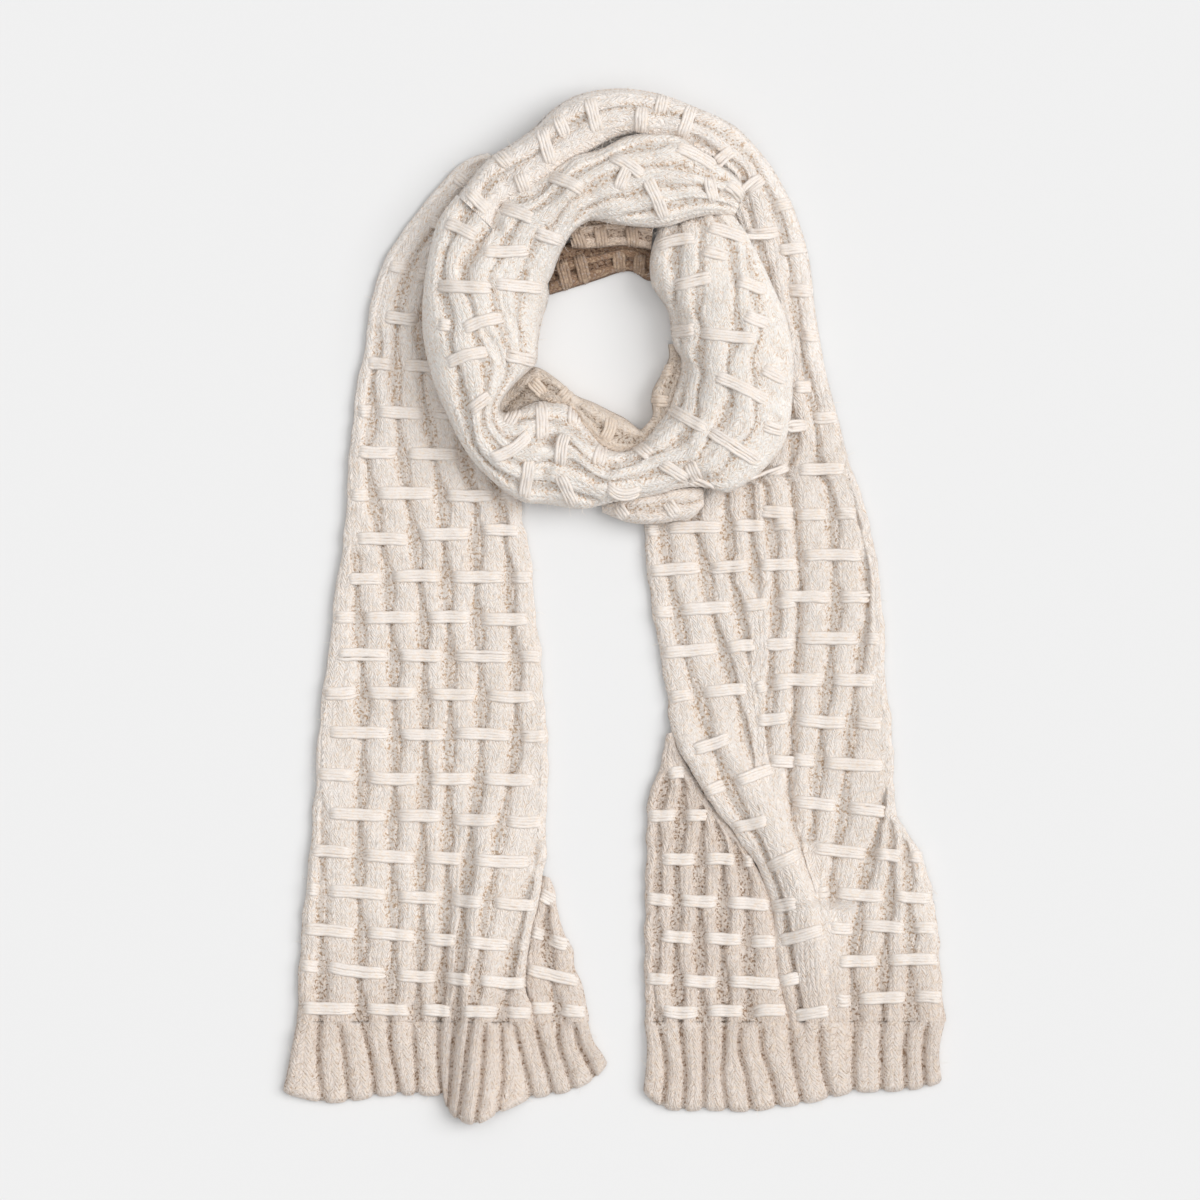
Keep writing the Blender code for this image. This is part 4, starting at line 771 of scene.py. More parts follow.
    def stitch(self, k, g, run):
        """Relief of the knit stitches' legs along one column of points."""
        a = np.abs(2 * ((self.count_at(k, g) + 0.5) % 1.0) - 1)
        leg = np.sin(math.pi * a) ** 0.8
        beat = np.cos(2 * math.pi * (run + 1.3 * a))
        return STITCH_DEPTH * (0.6 * leg - 0.3 + (0.35 + 0.35 * leg) * beat)

    def purl_trough(self, k, room, crest, run):
        """The purl stitches at the bottom of a trough, and knit ones where it has closed."""
        open_ = 1 - self.band.closed[:, k + 1]
        least = np.minimum(crest[:, k], crest[:, k + 1])
        for off in (-0.45, 0.45):
            kk = k if off < 0 else k + 1
            part = np.minimum(self.band.half[:, k + 1] * abs(off) / room[:, kk], 0.15) * open_
            g = 1 - part if off < 0 else part
            purl = 0.5 * np.cos(math.pi * run + 4 * off)
            knit = least + 0.45 * self.stitch(kk, g, run)
            self.put(kk, g, knit * (1 - open_) + purl * open_, open_)

    def underside(self, last):
        """The rounded edges below their widest place, and the flat underside."""
        under, edge = self.band.under, np.minimum(self.band.inset, self.width * 0.3)
        turns = [(1, a) for a in EDGE_TURNS] + [(None, 0)] + [(0, a) for a in EDGE_TURNS[::-1]]
        for n, (which, angle) in enumerate(turns):
            a = math.radians(angle)
            if which is None:
                r, z = self.width * 0.5, (under[:, 0] + under[:, 1]) / 2
            else:
                r = edge * (1 - math.cos(a))
                r = r if which == 0 else self.width - r
                z = self.side[which] - (self.side[which] - under[:, which]) * math.sin(a)
            xy = self.band.lines[:, 0] + self.across * (r + self.give)[:, None]
            self.points.append(np.concatenate([xy, z[:, None]], axis=1))
            self.su.append(np.full(self.rows, last + 0.6 * (n + 1)))
            self.cave.append(np.full(self.rows, 0.1))

    def meet(self, row, first, reach):
        """Smooths the step at a joint between two rows, over the columns from the first on."""
        before, after = self.points[row - 1, first : self.top], self.points[row, first : self.top]
        step = (after - before) / 2
        for n in range(reach):
            fade = 0.5 + 0.5 * math.cos(math.pi * n / reach)
            self.points[row - 1 - n, first : self.top] += step * fade
            self.points[row + n, first : self.top] -= step * fade

    def piece(self, name, rows=None, caps=(False, False)):
        """The mesh of these rows."""
        rows = rows or slice(None)
        parts = (part[rows] for part in (self.points, self.su, self.sv, self.cave))
        return grid_object(name, *parts, self.top, caps)


def cap_faces(ring, places, top):
    """Closes an end: a strip between the upper columns of a ring and its underside."""
    lower = np.arange(top, len(ring))[::-1]
    upper = np.arange(top)
    where = places[upper] @ (places[top - 1] - places[0])
    below = places[lower] @ (places[top - 1] - places[0])
    match = np.clip(np.searchsorted(below, where), 0, len(lower) - 1)
    match = np.maximum.accumulate(match)
    match[0], match[-1] = 0, len(lower) - 1
    faces = []
    for i in range(top - 1):
        a, b = match[i], match[i + 1]
        corners = [ring[upper[i]], ring[upper[i + 1]]] + [ring[lower[j]] for j in range(b, a - 1, -1)]
        faces.append(corners)
    return faces


def grid_object(name, points, su, sv, cave, top, caps):
    """A tube of cloth: su and sv count stitches across and along, cave is the depth in a trough or crease,
    which the material paints darker as shade, and the first columns, up to top, are its upper side."""
    rows, cols = points.shape[:2]
    index = np.arange(rows * cols).reshape(rows, cols)
    wrap = np.concatenate([index, index[:, :1]], axis=1)
    quads = np.stack([wrap[:-1, :-1], wrap[:-1, 1:], wrap[1:, 1:], wrap[1:, :-1]], axis=-1).reshape(-1, 4)
    middle = rows // 2
    across = points[middle, 2 * top // 3] - points[middle, top // 3]
    down = points[middle + 1, top // 2] - points[middle - 1, top // 2]
    faces = quads.tolist()
    if caps[0]:
        faces += [face[::-1] for face in cap_faces(index[0].tolist(), points[0], top)]
    if caps[1]:
        faces += cap_faces(index[-1].tolist(), points[-1], top)
    if across[0] * down[1] - across[1] * down[0] < 0:
        faces = [face[::-1] for face in faces]
    mesh = bpy.data.meshes.new(name)
    mesh.from_pydata((points.reshape(-1, 3) * MM).tolist(), [], faces)
    uv = mesh.uv_layers.new(name="knit")
    corner = np.empty(len(mesh.loops), dtype=np.int32)
    mesh.loops.foreach_get("vertex_index", corner)
    flat = np.stack([np.broadcast_to(part, (rows, cols)).reshape(-1) for part in (su, sv)], -1)
    uv.data.foreach_set("uv", flat[corner].astype(np.float32).reshape(-1))
    depth = np.broadcast_to(cave, (rows, cols)).reshape(-1)
    mesh.attributes.new("cave", "FLOAT", "POINT").data.foreach_set("value", depth.astype(np.float32))
    mesh.polygons.foreach_set("use_smooth", [True] * len(mesh.polygons))
    ends = np.empty(len(mesh.edges) * 2, dtype=np.int32)
    mesh.edges.foreach_get("vertices", ends)
    row = ends.reshape(-1, 2) // cols
    sharp = (row[:, 0] == row[:, 1]) & ((row[:, 0] == 0) & caps[0] | (row[:, 0] == rows - 1) & caps[1])
    mesh.attributes.new("sharp_edge", "BOOLEAN", "EDGE").data.foreach_set("value", sharp)
    mesh.update()
    obj = bpy.data.objects.new(name, mesh)
    bpy.context.scene.collection.objects.link(obj)
    return obj


def hem_lines(table, t):
    """Where a hem's edges and grooves are at shares down it."""
    lines = np.empty((len(t), len(table), 2))
    for k, (x0, x1, y1, x2, y2, x3, y3) in enumerate(table):
        lines[:, k] = rows_at(((0.0, x0, TAIL_END), (0.36, x1, y1), (0.7, x2, y2), (1.0, x3, y3)), t)
    return lines


def hem_ribs(lines, t, along, seed):
    """Columns of points over a hem's ribs and grooves, with their stitch counts and depths; the depths
    paint the grooves darker, partly as shade.
    """
    last = lines.shape[1] - 2
    end = np.sqrt(np.clip(1 - ((t - 0.93) / 0.07).clip(0, 1) ** 2, 0, 1)) * 0.75 + 0.25
    wave = 2 * math.pi * along / STITCH_ROW
    cols, su, cave = [], [], []
    for k in range(last + 1):
        a, b = lines[:, k], lines[:, k + 1]
        room = np.hypot(*(b - a).T)
        gap = np.minimum(HEM_GROOVE / room, 0.2)
        low, high = gap * (k > 0), 1 - gap * (k < last)
        for j in range(2 * HEM_RIB_SIDE + 1):
            s = j / HEM_RIB_SIDE - 1
            g = low + (high - low) * (0.5 + 0.5 * s * (1.1 - 0.1 * s * s))
            form = (1 - min(abs(s), 1.0) ** HEM_RIB_SQUARE) ** 0.5
            leg = (0.0, 1.0, 0.45, 1.0)[j % 4]
            lively = 1 + HEM_LIVELY * ripple(along, 9.0 * j + 31.0 * k, 9, seed + 6)
            beat = np.cos(wave + 2.6 * math.pi * abs((j % 4) / 2 - 1))
            bump = STITCH_DEPTH * lively * (leg - 0.6 + 0.45 * leg * beat)
            z = (CLOTH_BASE - 0.4 + 1.2 * RIB_RELIEF * form + bump) * end
            out = 2.2 * form * ((t - 0.9) / 0.1).clip(0, 1)
            xy = a + (b - a) * g[:, None]
            cols.append(np.stack([xy[:, 0], xy[:, 1] - out, z], axis=1))
            su.append(np.full(len(t), 3 * k + 0.5 + j / HEM_RIB_SIDE))
            cave.append(np.full(len(t), 1 - form))
        if k < last:
            cols.append(np.stack([b[:, 0], b[:, 1], (CLOTH_BASE - HEM_GROOVE) * end], axis=1))
            su.append(np.full(len(t), 3 * k + 3.0))
            cave.append(np.ones(len(t)))
    return cols, su, cave


def hem_underside(lines, t):
    """Columns of points round the edges below a hem's outer ribs, and over its plain underside."""
    spots = [(-1, -off, z) for off, z in HEM_EDGE]
    spots += [(k, 0.0, 0.0) for k in range(lines.shape[1] - 2, 0, -1)]
    spots += [(0, off, z) for off, z in HEM_EDGE[::-1]]
    cols = []
    for k, off, z in spots:
        inside = 0.0 if k in (0, -1) else HEM_TUCK * t * t
        cols.append(np.stack([lines[:, k, 0] + off, lines[:, k, 1] + inside, np.full(len(t), z)], axis=1))
    return cols


def hem(name, table, folds, seed, above):
    """The ribbing at a tail's end, which starts at the height of the cloth above it."""
    t = np.linspace(0, 1, HEM_STEPS)
    lines = hem_lines(table, t)
    along = -lines[:, :, 1].mean(axis=1)
    cols, su, cave = hem_ribs(lines, t, along, seed)
    top = len(cols)
    cols += hem_underside(lines, t)
    su += [np.full(len(t), 3.0 * len(table))] * (len(cols) - top)
    cave += [np.full(len(t), 0.2)] * (len(cols) - top)
    points = np.stack(cols, axis=1)
    x, y = points[:, :, 0], points[:, :, 1]
    lift = sum((fold_lift(x, y, fold) for fold in folds), np.zeros(x.shape))
    rough = waves(x, y, HEM_COARSE, seed) + waves(x, y, HEM_FINE, seed + 1)
    rough[:, top:] = 0.0
    points[:, :, 2] += lift + rough
    ground = Ground(*above)
    fade = np.clip(1 - t / 0.22, 0, 1) ** 1.6
    for j in range(top):
        found = ground.height(points[0, j, 0], TAIL_END + 0.6)
        if found is not None:
            points[:, j, 2] += (found - 0.15 - points[0, j, 2]) * fade
    su, sv, cave = np.stack(su, axis=1), (along / STITCH_ROW)[:, None], np.stack(cave, axis=1)
    return grid_object(name, points, su, sv, cave, top, (True, True))


# ---- geometry nodes --------------------------------------------------------------------------------
class Growth:
    """A Geometry Nodes tree with named inputs."""

    def __init__(self, name, **inputs):
        self.tree = bpy.data.node_groups.new(name, "GeometryNodeTree")
        face = self.tree.interface
        face.new_socket("Geometry", in_out="INPUT", socket_type="NodeSocketGeometry")
        face.new_socket("Geometry", in_out="OUTPUT", socket_type="NodeSocketGeometry")
        for label, kind in inputs.items():
            face.new_socket(label, in_out="INPUT", socket_type="NodeSocket" + kind)
        self.given = self.tree.nodes.new("NodeGroupInput")

    def read(self, name):
        """A number that the points carry under a name."""
        return self.node("GeometryNodeInputNamedAttribute", {"data_type": "FLOAT"}, {"Name": name})

    def math(self, operation, *values):
        """A Math node."""
        return self.node("ShaderNodeMath", {"operation": operation}, dict(enumerate(values)))

    def node(self, kind, settings, sockets, out=0):
        """Any node: its type, its settings, the values or links of its sockets. Gives one output."""
        node = self.tree.nodes.new(kind)
        for label, value in settings.items():
            setattr(node, label, value)
        for slot, value in sockets.items():
            if isinstance(value, bpy.types.NodeSocket):
                self.tree.links.new(value, node.inputs[slot])
            else:
                node.inputs[slot].default_value = value
        return node.outputs[out]

    def finish(self, geometry):
        """Ends the tree in Realize Instances and Set Material."""
        whole = self.node("GeometryNodeRealizeInstances", {}, {0: geometry})
        sockets = {"Geometry": whole, "Material": self.given.outputs["Material"]}
        whole = self.node("GeometryNodeSetMaterial", {}, sockets)
        end = self.tree.nodes.new("NodeGroupOutput")
        self.tree.links.new(whole, end.inputs[0])

    def grow(self, obj, **values):
        """Runs the tree on an object and leaves the result as its plain mesh."""
        modifier = obj.modifiers.new(self.tree.name, "NODES")
        modifier.node_group = self.tree
        for item in self.tree.interface.items_tree:
            if item.in_out == "INPUT" and item.name in values:
                modifier[item.identifier] = values[item.name]
        ready = obj.evaluated_get(bpy.context.evaluated_depsgraph_get())
        mesh = bpy.data.meshes.new_from_object(ready)
        obj.modifiers.remove(modifier)
        start = obj.data
        obj.data = mesh
        bpy.data.meshes.remove(start)
        mesh.name = obj.name
        return obj


def yarn_growth():
    """Turns paths into round yarns: a path's girth thins it, and the knit map runs along and around it."""
    tree = Growth("float_yarns", Thickness="Float", Sides="Int", Material="Material")
    girth, tone = tree.read("girth"), tree.read("tone")
    radius = tree.math("MULTIPLY", girth, tree.given.outputs["Thickness"])
    radius = tree.math("MULTIPLY", radius, 0.5)
    path = tree.node("GeometryNodeMeshToCurve", {}, {0: tree.given.outputs["Geometry"]})
    length = tree.node("GeometryNodeSplineParameter", {}, {}, "Length")
    path = tree.node("GeometryNodeStoreNamedAttribute", {"data_type": "FLOAT", "domain": "POINT"},
                     {"Geometry": path, "Name": "run", "Value": length})
    circle = tree.node("GeometryNodeCurvePrimitiveCircle", {"mode": "RADIUS"},
                       {"Resolution": tree.given.outputs["Sides"], "Radius": 1.0})
    factor = tree.node("GeometryNodeSplineParameter", {}, {}, "Factor")
    circle = tree.node("GeometryNodeStoreNamedAttribute", {"data_type": "FLOAT", "domain": "POINT"},
                       {"Geometry": circle, "Name": "round", "Value": factor})
    tube = tree.node("GeometryNodeCurveToMesh", {},
                     {"Curve": path, "Profile Curve": circle, "Scale": radius, "Fill Caps": True})
    along = tree.math("MULTIPLY_ADD", tree.read("run"), 250.0, tone)
    across = tree.math("MULTIPLY_ADD", tone, 10.0, tree.read("round"))
    both = tree.node("ShaderNodeCombineXYZ", {}, {0: along, 1: across, 2: 0.0})
    tube = tree.node("GeometryNodeStoreNamedAttribute", {"data_type": "FLOAT2", "domain": "CORNER"},
                     {"Geometry": tube, "Name": "knit", "Value": both})
    tree.finish(tree.node("GeometryNodeSetShadeSmooth", {}, {0: tube}))
    return tree


def fuzz_growth():
    """Scatters loose bent fibres over the faces of a piece that look up, and keeps only them."""
    tree = Growth("fuzz", Density="Float", Girth="Float", Seed="Int", Material="Material")
    given = tree.given.outputs
    normal = tree.node("GeometryNodeInputNormal", {}, {})
    up = tree.node("ShaderNodeSeparateXYZ", {}, {0: normal}, 2)
    above = tree.node("FunctionNodeCompare", {"operation": "GREATER_THAN"}, {0: up, 1: 0.08})
    sockets = {"Mesh": given["Geometry"], "Selection": above, "Density": given["Density"],
               "Seed": given["Seed"]}
    spread = tree.node("GeometryNodeDistributePointsOnFaces", {}, sockets, "Points")
    sockets = {"Resolution": 2, "Start": (0.0, 0.0, -0.0006), "Middle": (0.0004, 0.0, 0.0022),
               "End": (0.0034, 0.0, 0.0029)}
    fibre = tree.node("GeometryNodeCurveQuadraticBezier", {}, sockets)
    along = tree.node("GeometryNodeSplineParameter", {}, {}, "Factor")
    taper = tree.math("MULTIPLY_ADD", along, -0.35, 0.5)
    girth = tree.math("MULTIPLY", taper, given["Girth"])
    ring = tree.node("GeometryNodeCurvePrimitiveCircle", {"mode": "RADIUS"},
                     {"Resolution": 3, "Radius": 1.0})
    fibre = tree.node("GeometryNodeCurveToMesh", {},
                      {"Curve": fibre, "Profile Curve": ring, "Scale": girth, "Fill Caps": True})
    turn = tree.node("FunctionNodeRandomValue", {"data_type": "FLOAT_VECTOR"},
                     {0: (-0.7, -0.7, 0.0), 1: (0.7, 0.7, 6.283), 8: 3})
    turn = tree.node("FunctionNodeEulerToRotation", {}, {0: turn})
    turn = tree.node("FunctionNodeRotateRotation", {"rotation_space": "LOCAL"},
                     {0: spread.node.outputs["Rotation"], 1: turn})
    size = tree.node("FunctionNodeRandomValue", {"data_type": "FLOAT"}, {2: 0.6, 3: 1.7, 8: 5}, 1)
    fibres = tree.node("GeometryNodeInstanceOnPoints", {},
                       {"Points": spread, "Instance": fibre, "Rotation": turn, "Scale": size})
    tree.finish(tree.node("GeometryNodeSetShadeSmooth", {}, {0: fibres}))
    return tree


# ---- floats ----------------------------------------------------------------------------------------
class Ground:
    """The cloth that yarn is laid on."""

    def __init__(self, *pieces):
        self.trees = []
        for piece in pieces:
            mesh = piece.data
            co = np.empty(len(mesh.vertices) * 3)
            mesh.vertices.foreach_get("co", co)
            faces = [tuple(face.vertices) for face in mesh.polygons]
            self.trees.append(BVHTree.FromPolygons(co.reshape(-1, 3).tolist(), faces))

    def height(self, x, y):
        """Height of the cloth under a point, in millimetres, or None beside it."""
        best = None
        for tree in self.trees:
            hit = tree.ray_cast(Vector((x * MM, y * MM, 0.2)), Vector((0, 0, -1)))[0]
            if hit is not None and (best is None or hit.z / MM > best):
                best = hit.z / MM
        return best


def upper_hull(s, z):
    """The lowest convex line over the points."""
    keep = []
    for i in range(len(s)):
        while len(keep) > 1:
            a, b = keep[-2], keep[-1]
            if (z[b] - z[a]) * (s[i] - s[a]) <= (z[i] - z[a]) * (s[b] - s[a]):
                keep.pop()
            else:
                break
        keep.append(i)
    return np.interp(s, s[keep], z[keep])


class Floats:
    """Bars of yarn laid on the cloth, gathered into one piece."""

    def __init__(self, ground, seed):
        self.ground = ground
        self.paths, self.girths, self.tones = [], [], []
        self.draw = np.random.default_rng(seed)

    def bar(self, start, end, bow=0.0):
        """Parallel yarns from one end to the other."""
        length = math.hypot(end[0] - start[0], end[1] - start[1])
        if length < LEAST_FLOAT:
            return
        ahead = (end[0] - start[0]) / length, (end[1] - start[1]) / length
        tone = self.draw.uniform(0.0, 1.0)
        slack = self.draw.uniform(0.0, 0.5)
        for n in range(YARNS):
            self.yarn(n, start, ahead, length, bow, slack, tone + 0.31 * n)

    def yarn(self, n, start, ahead, length, bow, slack, tone):
        """One yarn of a bar, laid over the cloth's ribs, with its ends in the cloth."""
        half = (YARNS - 1) / 2
        place = (n - half) / half
        near, far = self.draw.normal(0, 0.4, 2)
        longer = SPLAY * place * place
        s = np.linspace(near - longer, length + far + longer, YARN_STEPS)
        from_middle = np.abs(2 * s / length - 1)
        pinch = 1 - PINCH * np.clip(1 - (1 - from_middle) * 3.2, 0, 1) ** 2
        off = place * half * YARN_PITCH + self.draw.normal(0, 0.12)
        sway = 0.16 * np.sin(s * 0.45 + self.draw.uniform(0, 6))
        side = off * pinch + bow * (1 - from_middle**2) + sway
        x, y = start[0] + ahead[0] * s - ahead[1] * side, start[1] + ahead[1] * s + ahead[0] * side
        found, known = self.below(x, y)
        if len(known) < YARN_LEAST:
            return
        if len(known) < YARN_STEPS:
            first, last = known[0] / (YARN_STEPS - 1), known[-1] / (YARN_STEPS - 1)
            ratio = np.linspace(first, last, YARN_STEPS)
            s, x, y = (np.interp(ratio, np.linspace(0, 1, YARN_STEPS), row) for row in (s, x, y))
            found, known = self.below(x, y)
        z = np.interp(np.arange(YARN_STEPS), known, [found[i] for i in known])
        z = TAUT * upper_hull(s, z) + (1 - TAUT) * z
        z += LIFT + BUNDLE_LIFT * (1 - place * place) - SLACK_DROP * slack
        for from_end in (s - s[0], s[-1] - s):
            z -= DIVE * np.clip(1 - from_end / DIVE_RUN, 0, 1) ** 1.6
        girth = 1 + self.draw.normal(0, 0.05) + 0.06 * np.sin(s * 0.9 + self.draw.uniform(0, 6))
        girth[[0, -1]] *= 0.55
        self.paths.append(np.stack([x, y, np.maximum(z, YARN / 2)], axis=1))
        self.girths.append(girth)
        self.tones.append(np.full(YARN_STEPS, tone))

    def below(self, x, y):
        """The cloth's height under each point, and which points have cloth below them."""
        found = [self.ground.height(a, b) for a, b in zip(x, y)]
        return found, [i for i in range(YARN_STEPS) if found[i] is not None]

    def rows_down(self, table, rows, first, slants=()):
        """The rows of floats down a tail: each covers a trough and the rib to either side."""
        top, bottom = max(table[0][0], table[-1][0]), min(table[0][0], table[-1][0])
        slants = dict(slants)
        for number, row in enumerate(rows):
            if bottom + 4 < row < top - 4:
                lines = flat_lines(table, np.array([float(row)]))[0]
                self.row(lines, number + first, slants.get(number, 0.0))

    def rows_up(self, table, places, first):
        """The rows of floats up a side."""
        table = stations(table)
        for number, place in enumerate(places):
            if place <= table[-1, 0]:
                self.row(roll_lines(table, np.array([float(place)]))[0][0], first - number, 0.0)

    def row(self, lines, number, slant):
        """One row of floats, over every second trough."""
        last = len(lines) - 1
        for k in range(last + 1):
            if (k + number) % 2:
                continue
            a, b = max(k - 1, 0), min(k + 1, last)
            start, end = lines[a].copy(), lines[b].copy()
            length = np.linalg.norm(end - start)
            if length < LEAST_WIDTH:
                continue
            ahead = (end - start) / length
            least = min(MARGIN, length * MARGIN_SHARE)
            start += ahead * (least if a > 0 else EDGE_MARGIN) + ahead * self.draw.normal(0, 0.4)
            end -= ahead * (least if b < last else EDGE_MARGIN) + ahead * self.draw.normal(0, 0.4)
            share = (start[0] + end[0] - 2 * lines[0, 0]) / 2 / max(lines[-1, 0] - lines[0, 0], 1)
            lift = slant * (share - 0.5)
            tip = self.draw.normal(0, 0.5, 2)
            first, second = (start[0], start[1] + tip[0] + lift), (end[0], end[1] + tip[1] + lift)
            self.bar(first, second, self.draw.normal(0.0, 0.5))

    def laid(self, bars):
        """Bars placed one by one."""
        for x0, y0, x1, y1, bow in bars:
            self.bar((x0, y0), (x1, y1), bow + self.draw.normal(0.0, 0.25))

    def made(self, name, growth, material):
        """The piece with every bar laid so far."""
        count = np.cumsum([0] + [len(p) for p in self.paths])
        edges = [(i, i + 1) for a, b in zip(count, count[1:]) for i in range(a, b - 1)]
        mesh = bpy.data.meshes.new(name)
        mesh.from_pydata((np.concatenate(self.paths) * MM).tolist(), edges, [])
        for label, values in (("girth", self.girths), ("tone", self.tones)):
            attribute = mesh.attributes.new(label, "FLOAT", "POINT")
            attribute.data.foreach_set("value", np.concatenate(values).astype(np.float32))
        obj = bpy.data.objects.new(name, mesh)
        bpy.context.scene.collection.objects.link(obj)
        return growth.grow(obj, Thickness=YARN * MM, Sides=6, Material=material)


# ---- materials -------------------------------------------------------------------------------------
class Value:
    """A socket whose sums, products and so on become Math nodes."""

    def __init__(self, finish, socket):
        self.finish, self.socket = finish, socket

    def math(self, operation, *others):
        """A Math node on this value and others."""
        values = dict(enumerate((self,) + others))
        return self.finish.node("ShaderNodeMath", {"operation": operation}, values)

    def __add__(self, other):
        return self.math("ADD", other)

    def __sub__(self, other):
        return self.math("SUBTRACT", other)

    def __rsub__(self, other):
        return self.finish.node("ShaderNodeMath", {"operation": "SUBTRACT"}, {0: other, 1: self})

    def __mul__(self, other):
        return self.math("MULTIPLY", other)

    def __pow__(self, other):
        return self.math("POWER", other)

    __radd__, __rmul__ = __add__, __mul__

    def part(self):
        """What is left over whole numbers."""
        return self.math("FRACT")

    def whole(self):
        """The whole number below."""
        return self.math("FLOOR")

    def size(self):
        """Without its sign."""
        return self.math("ABSOLUTE")

    def arch(self):
        """A half wave over each whole number."""
        return (self * math.pi).math("SINE").size()

    def clear(self, edge, gain):
        """0 to 1 around an edge."""
        return self.finish.node("ShaderNodeClamp", {}, {0: (self - edge) * gain + 0.5})


class Finish:
    """A material's nodes."""

    def __init__(self, name, **shader):
        self.material = bpy.data.materials.new(name)
        self.material.use_nodes = True
        self.tree = self.material.node_tree
        self.shader = self.tree.nodes["Principled BSDF"]
        for label, value in shader.items():
            self.shader.inputs[label.replace("_", " ")].default_value = value

    def node(self, kind, settings, sockets, out=0):
        """Any node: its type, its settings, the values or links of its sockets. Gives one output."""
        node = self.tree.nodes.new(kind)
        for label, value in settings.items():
            setattr(node, label, value)
        for slot, value in sockets.items():
            if isinstance(value, Value):
                self.tree.links.new(value.socket, node.inputs[slot])
            elif isinstance(value, tuple) and len(value) == 3 and node.inputs[slot].type == "RGBA":
                node.inputs[slot].default_value = (*value, 1.0)
            else:
                node.inputs[slot].default_value = value
        return Value(self, node.outputs[out])

    def noise(self, place, scale, detail=2.0, rough=0.55):
        """Noise at a place, finer with a larger scale."""
        sockets = {"Vector": place, "Scale": scale, "Detail": detail, "Roughness": rough}
        return self.node("ShaderNodeTexNoise", {}, sockets)

    def spot(self, x, y, z):
        """A place from three values."""
        return self.node("ShaderNodeCombineXYZ", {}, {0: x, 1: y, 2: z})

    def blend(self, share, low, high):
        """Colour between two."""
        return self.node("ShaderNodeMix", {"data_type": "RGBA"}, {0: share, 6: low, 7: high}, 2)

    def map(self):
        """The knit map's two counts: stitches across and along."""
        uv = self.node("ShaderNodeTexCoord", {}, {}, "UV")
        across = self.node("ShaderNodeSeparateXYZ", {}, {0: uv})
        return across, Value(self, across.socket.node.outputs[1])

    def paint(self, colour, relief, strength, distance):
        """Ends the material in a colour and a fine relief."""
        sockets = {"Strength": strength, "Distance": distance, "Height": relief}
        bump = self.node("ShaderNodeBump", {}, sockets)
        self.tree.links.new(colour.socket, self.shader.inputs["Base Color"])
        self.tree.links.new(bump.socket, self.shader.inputs["Normal"])
        return self.material

    def heather(self, place, low, high):
        """Fine mixed fibres: warm and grey flecks between two tones."""
        fine = self.noise(place, 900.0, 2.0, 0.6)
        broad = self.noise(place, 240.0, 2.0, 0.6)
        tint = self.noise(place, 420.0, 1.0, 0.5)
        wide = self.noise(place, 26.0, 1.0, 0.5)
        mixed = (fine - 0.5) * 1.7 + (broad - 0.5) * 1.2 + (wide - 0.5) * 0.8 + 0.55
        base = self.blend(mixed.clear(0.5, 1.0), low, high)
        grey = self.blend(tint.clear(0.66, 5.0) * 0.22, base, (0.80, 0.79, 0.80))
        return self.blend((1.0 - tint).clear(0.62, 5.0) * 0.34, grey, (0.86, 0.68, 0.49))


ZONE_GAIN = 14.0    # how sharply one zone's tones pass into the next, to the metre


def knit_wool(name, tones, strength=0.68, zones=(), glow=0.0):
    """Heathered knit: the legs of its stitches, fibre streaks and speckled troughs. Each zone down the
    scarf, from its start on, has tones of its own, such as the lighter ones of painted light: light, dark,
    and the tan and brown of the grooves, partly the yarn's own colour and partly painted shade."""
    finish = Finish(name, Roughness=0.92, Specular_IOR_Level=0.2, Sheen_Weight=0.12, Sheen_Roughness=0.5,
                    Subsurface_Weight=glow, Subsurface_Radius=(1.0, 1.0, 1.0), Subsurface_Scale=0.002)
    across, along = finish.map()
    place = finish.node("ShaderNodeTexCoord", {}, {}, "Object")
    # the depth in a trough or crease, which darkens the colour below: partly the purl knots' own colour,
    # partly painted shade
    deep = finish.node("ShaderNodeAttribute", {"attribute_name": "cave"}, {}, "Fac")
    down = 0.0 - finish.node("ShaderNodeSeparateXYZ", {}, {0: place}, 1)
    for start, others in zones:
        passed = down.clear(start, ZONE_GAIN)
        tones = [finish.blend(passed, above, below) for above, below in zip(tones, others)]
    light, dark, tan, brown = tones

    # the two legs of a stitch lean together in each column, and yarns wander a little
    wander = finish.noise(place, 150.0, 2.0, 0.6)
    drift = finish.noise(place, 24.0, 1.0, 0.5)
    u = across - 0.5 + (wander - 0.5) * 0.7
    column = u.whole()
    a = ((u.part() - 0.5) * 2.0).size()
    slide = along + a * 1.8 + column * 0.37 + (wander - 0.5) * 1.4
    leg = a.arch() ** 0.6
    bead = slide.arch() ** 0.6
    stitch = leg * bead * 0.6 + bead * 0.25 + leg * 0.15

    # fibres run along the legs, with grain and fuzz over them, and purl knots in the troughs
    streak = finish.noise(finish.spot(slide * 3.2, a * 1.1, column * 3.7 + drift * 9.0), 1.0, 3.0, 0.6)
    grain = finish.noise(place, 560.0, 2.0, 0.7)
    fuzz = finish.noise(place, 1500.0, 2.0, 0.65)
    base = finish.heather(place, dark, light)
    knot = finish.noise(place, 560.0, 1.0, 0.5)

    # between the yarns it is tan and deep in the troughs speckled brown: partly the knots' own colour,
    # partly painted shade
    groove = (1.0 - stitch) * (0.7 - deep * 0.4) + (0.5 - grain) * 2.4 + (0.5 - streak) * 3.4 + deep * 0.42
    shade = finish.blend(groove.clear(0.80, 1.3), base, tan)
    pit = (0.5 - grain) * 1.6 + (0.5 - knot) * 3.4 * deep + (0.5 - streak) * 1.8 + deep * 0.2
    colour = finish.blend(pit.clear(0.62, 1.8) * (deep * 0.65 + 0.24), shade, brown)
    relief = stitch * 0.75 + streak * 0.7 + grain * 0.9 + fuzz * 0.2 + knot * deep * 1.4
    return finish.paint(colour, relief, strength, 0.0013)


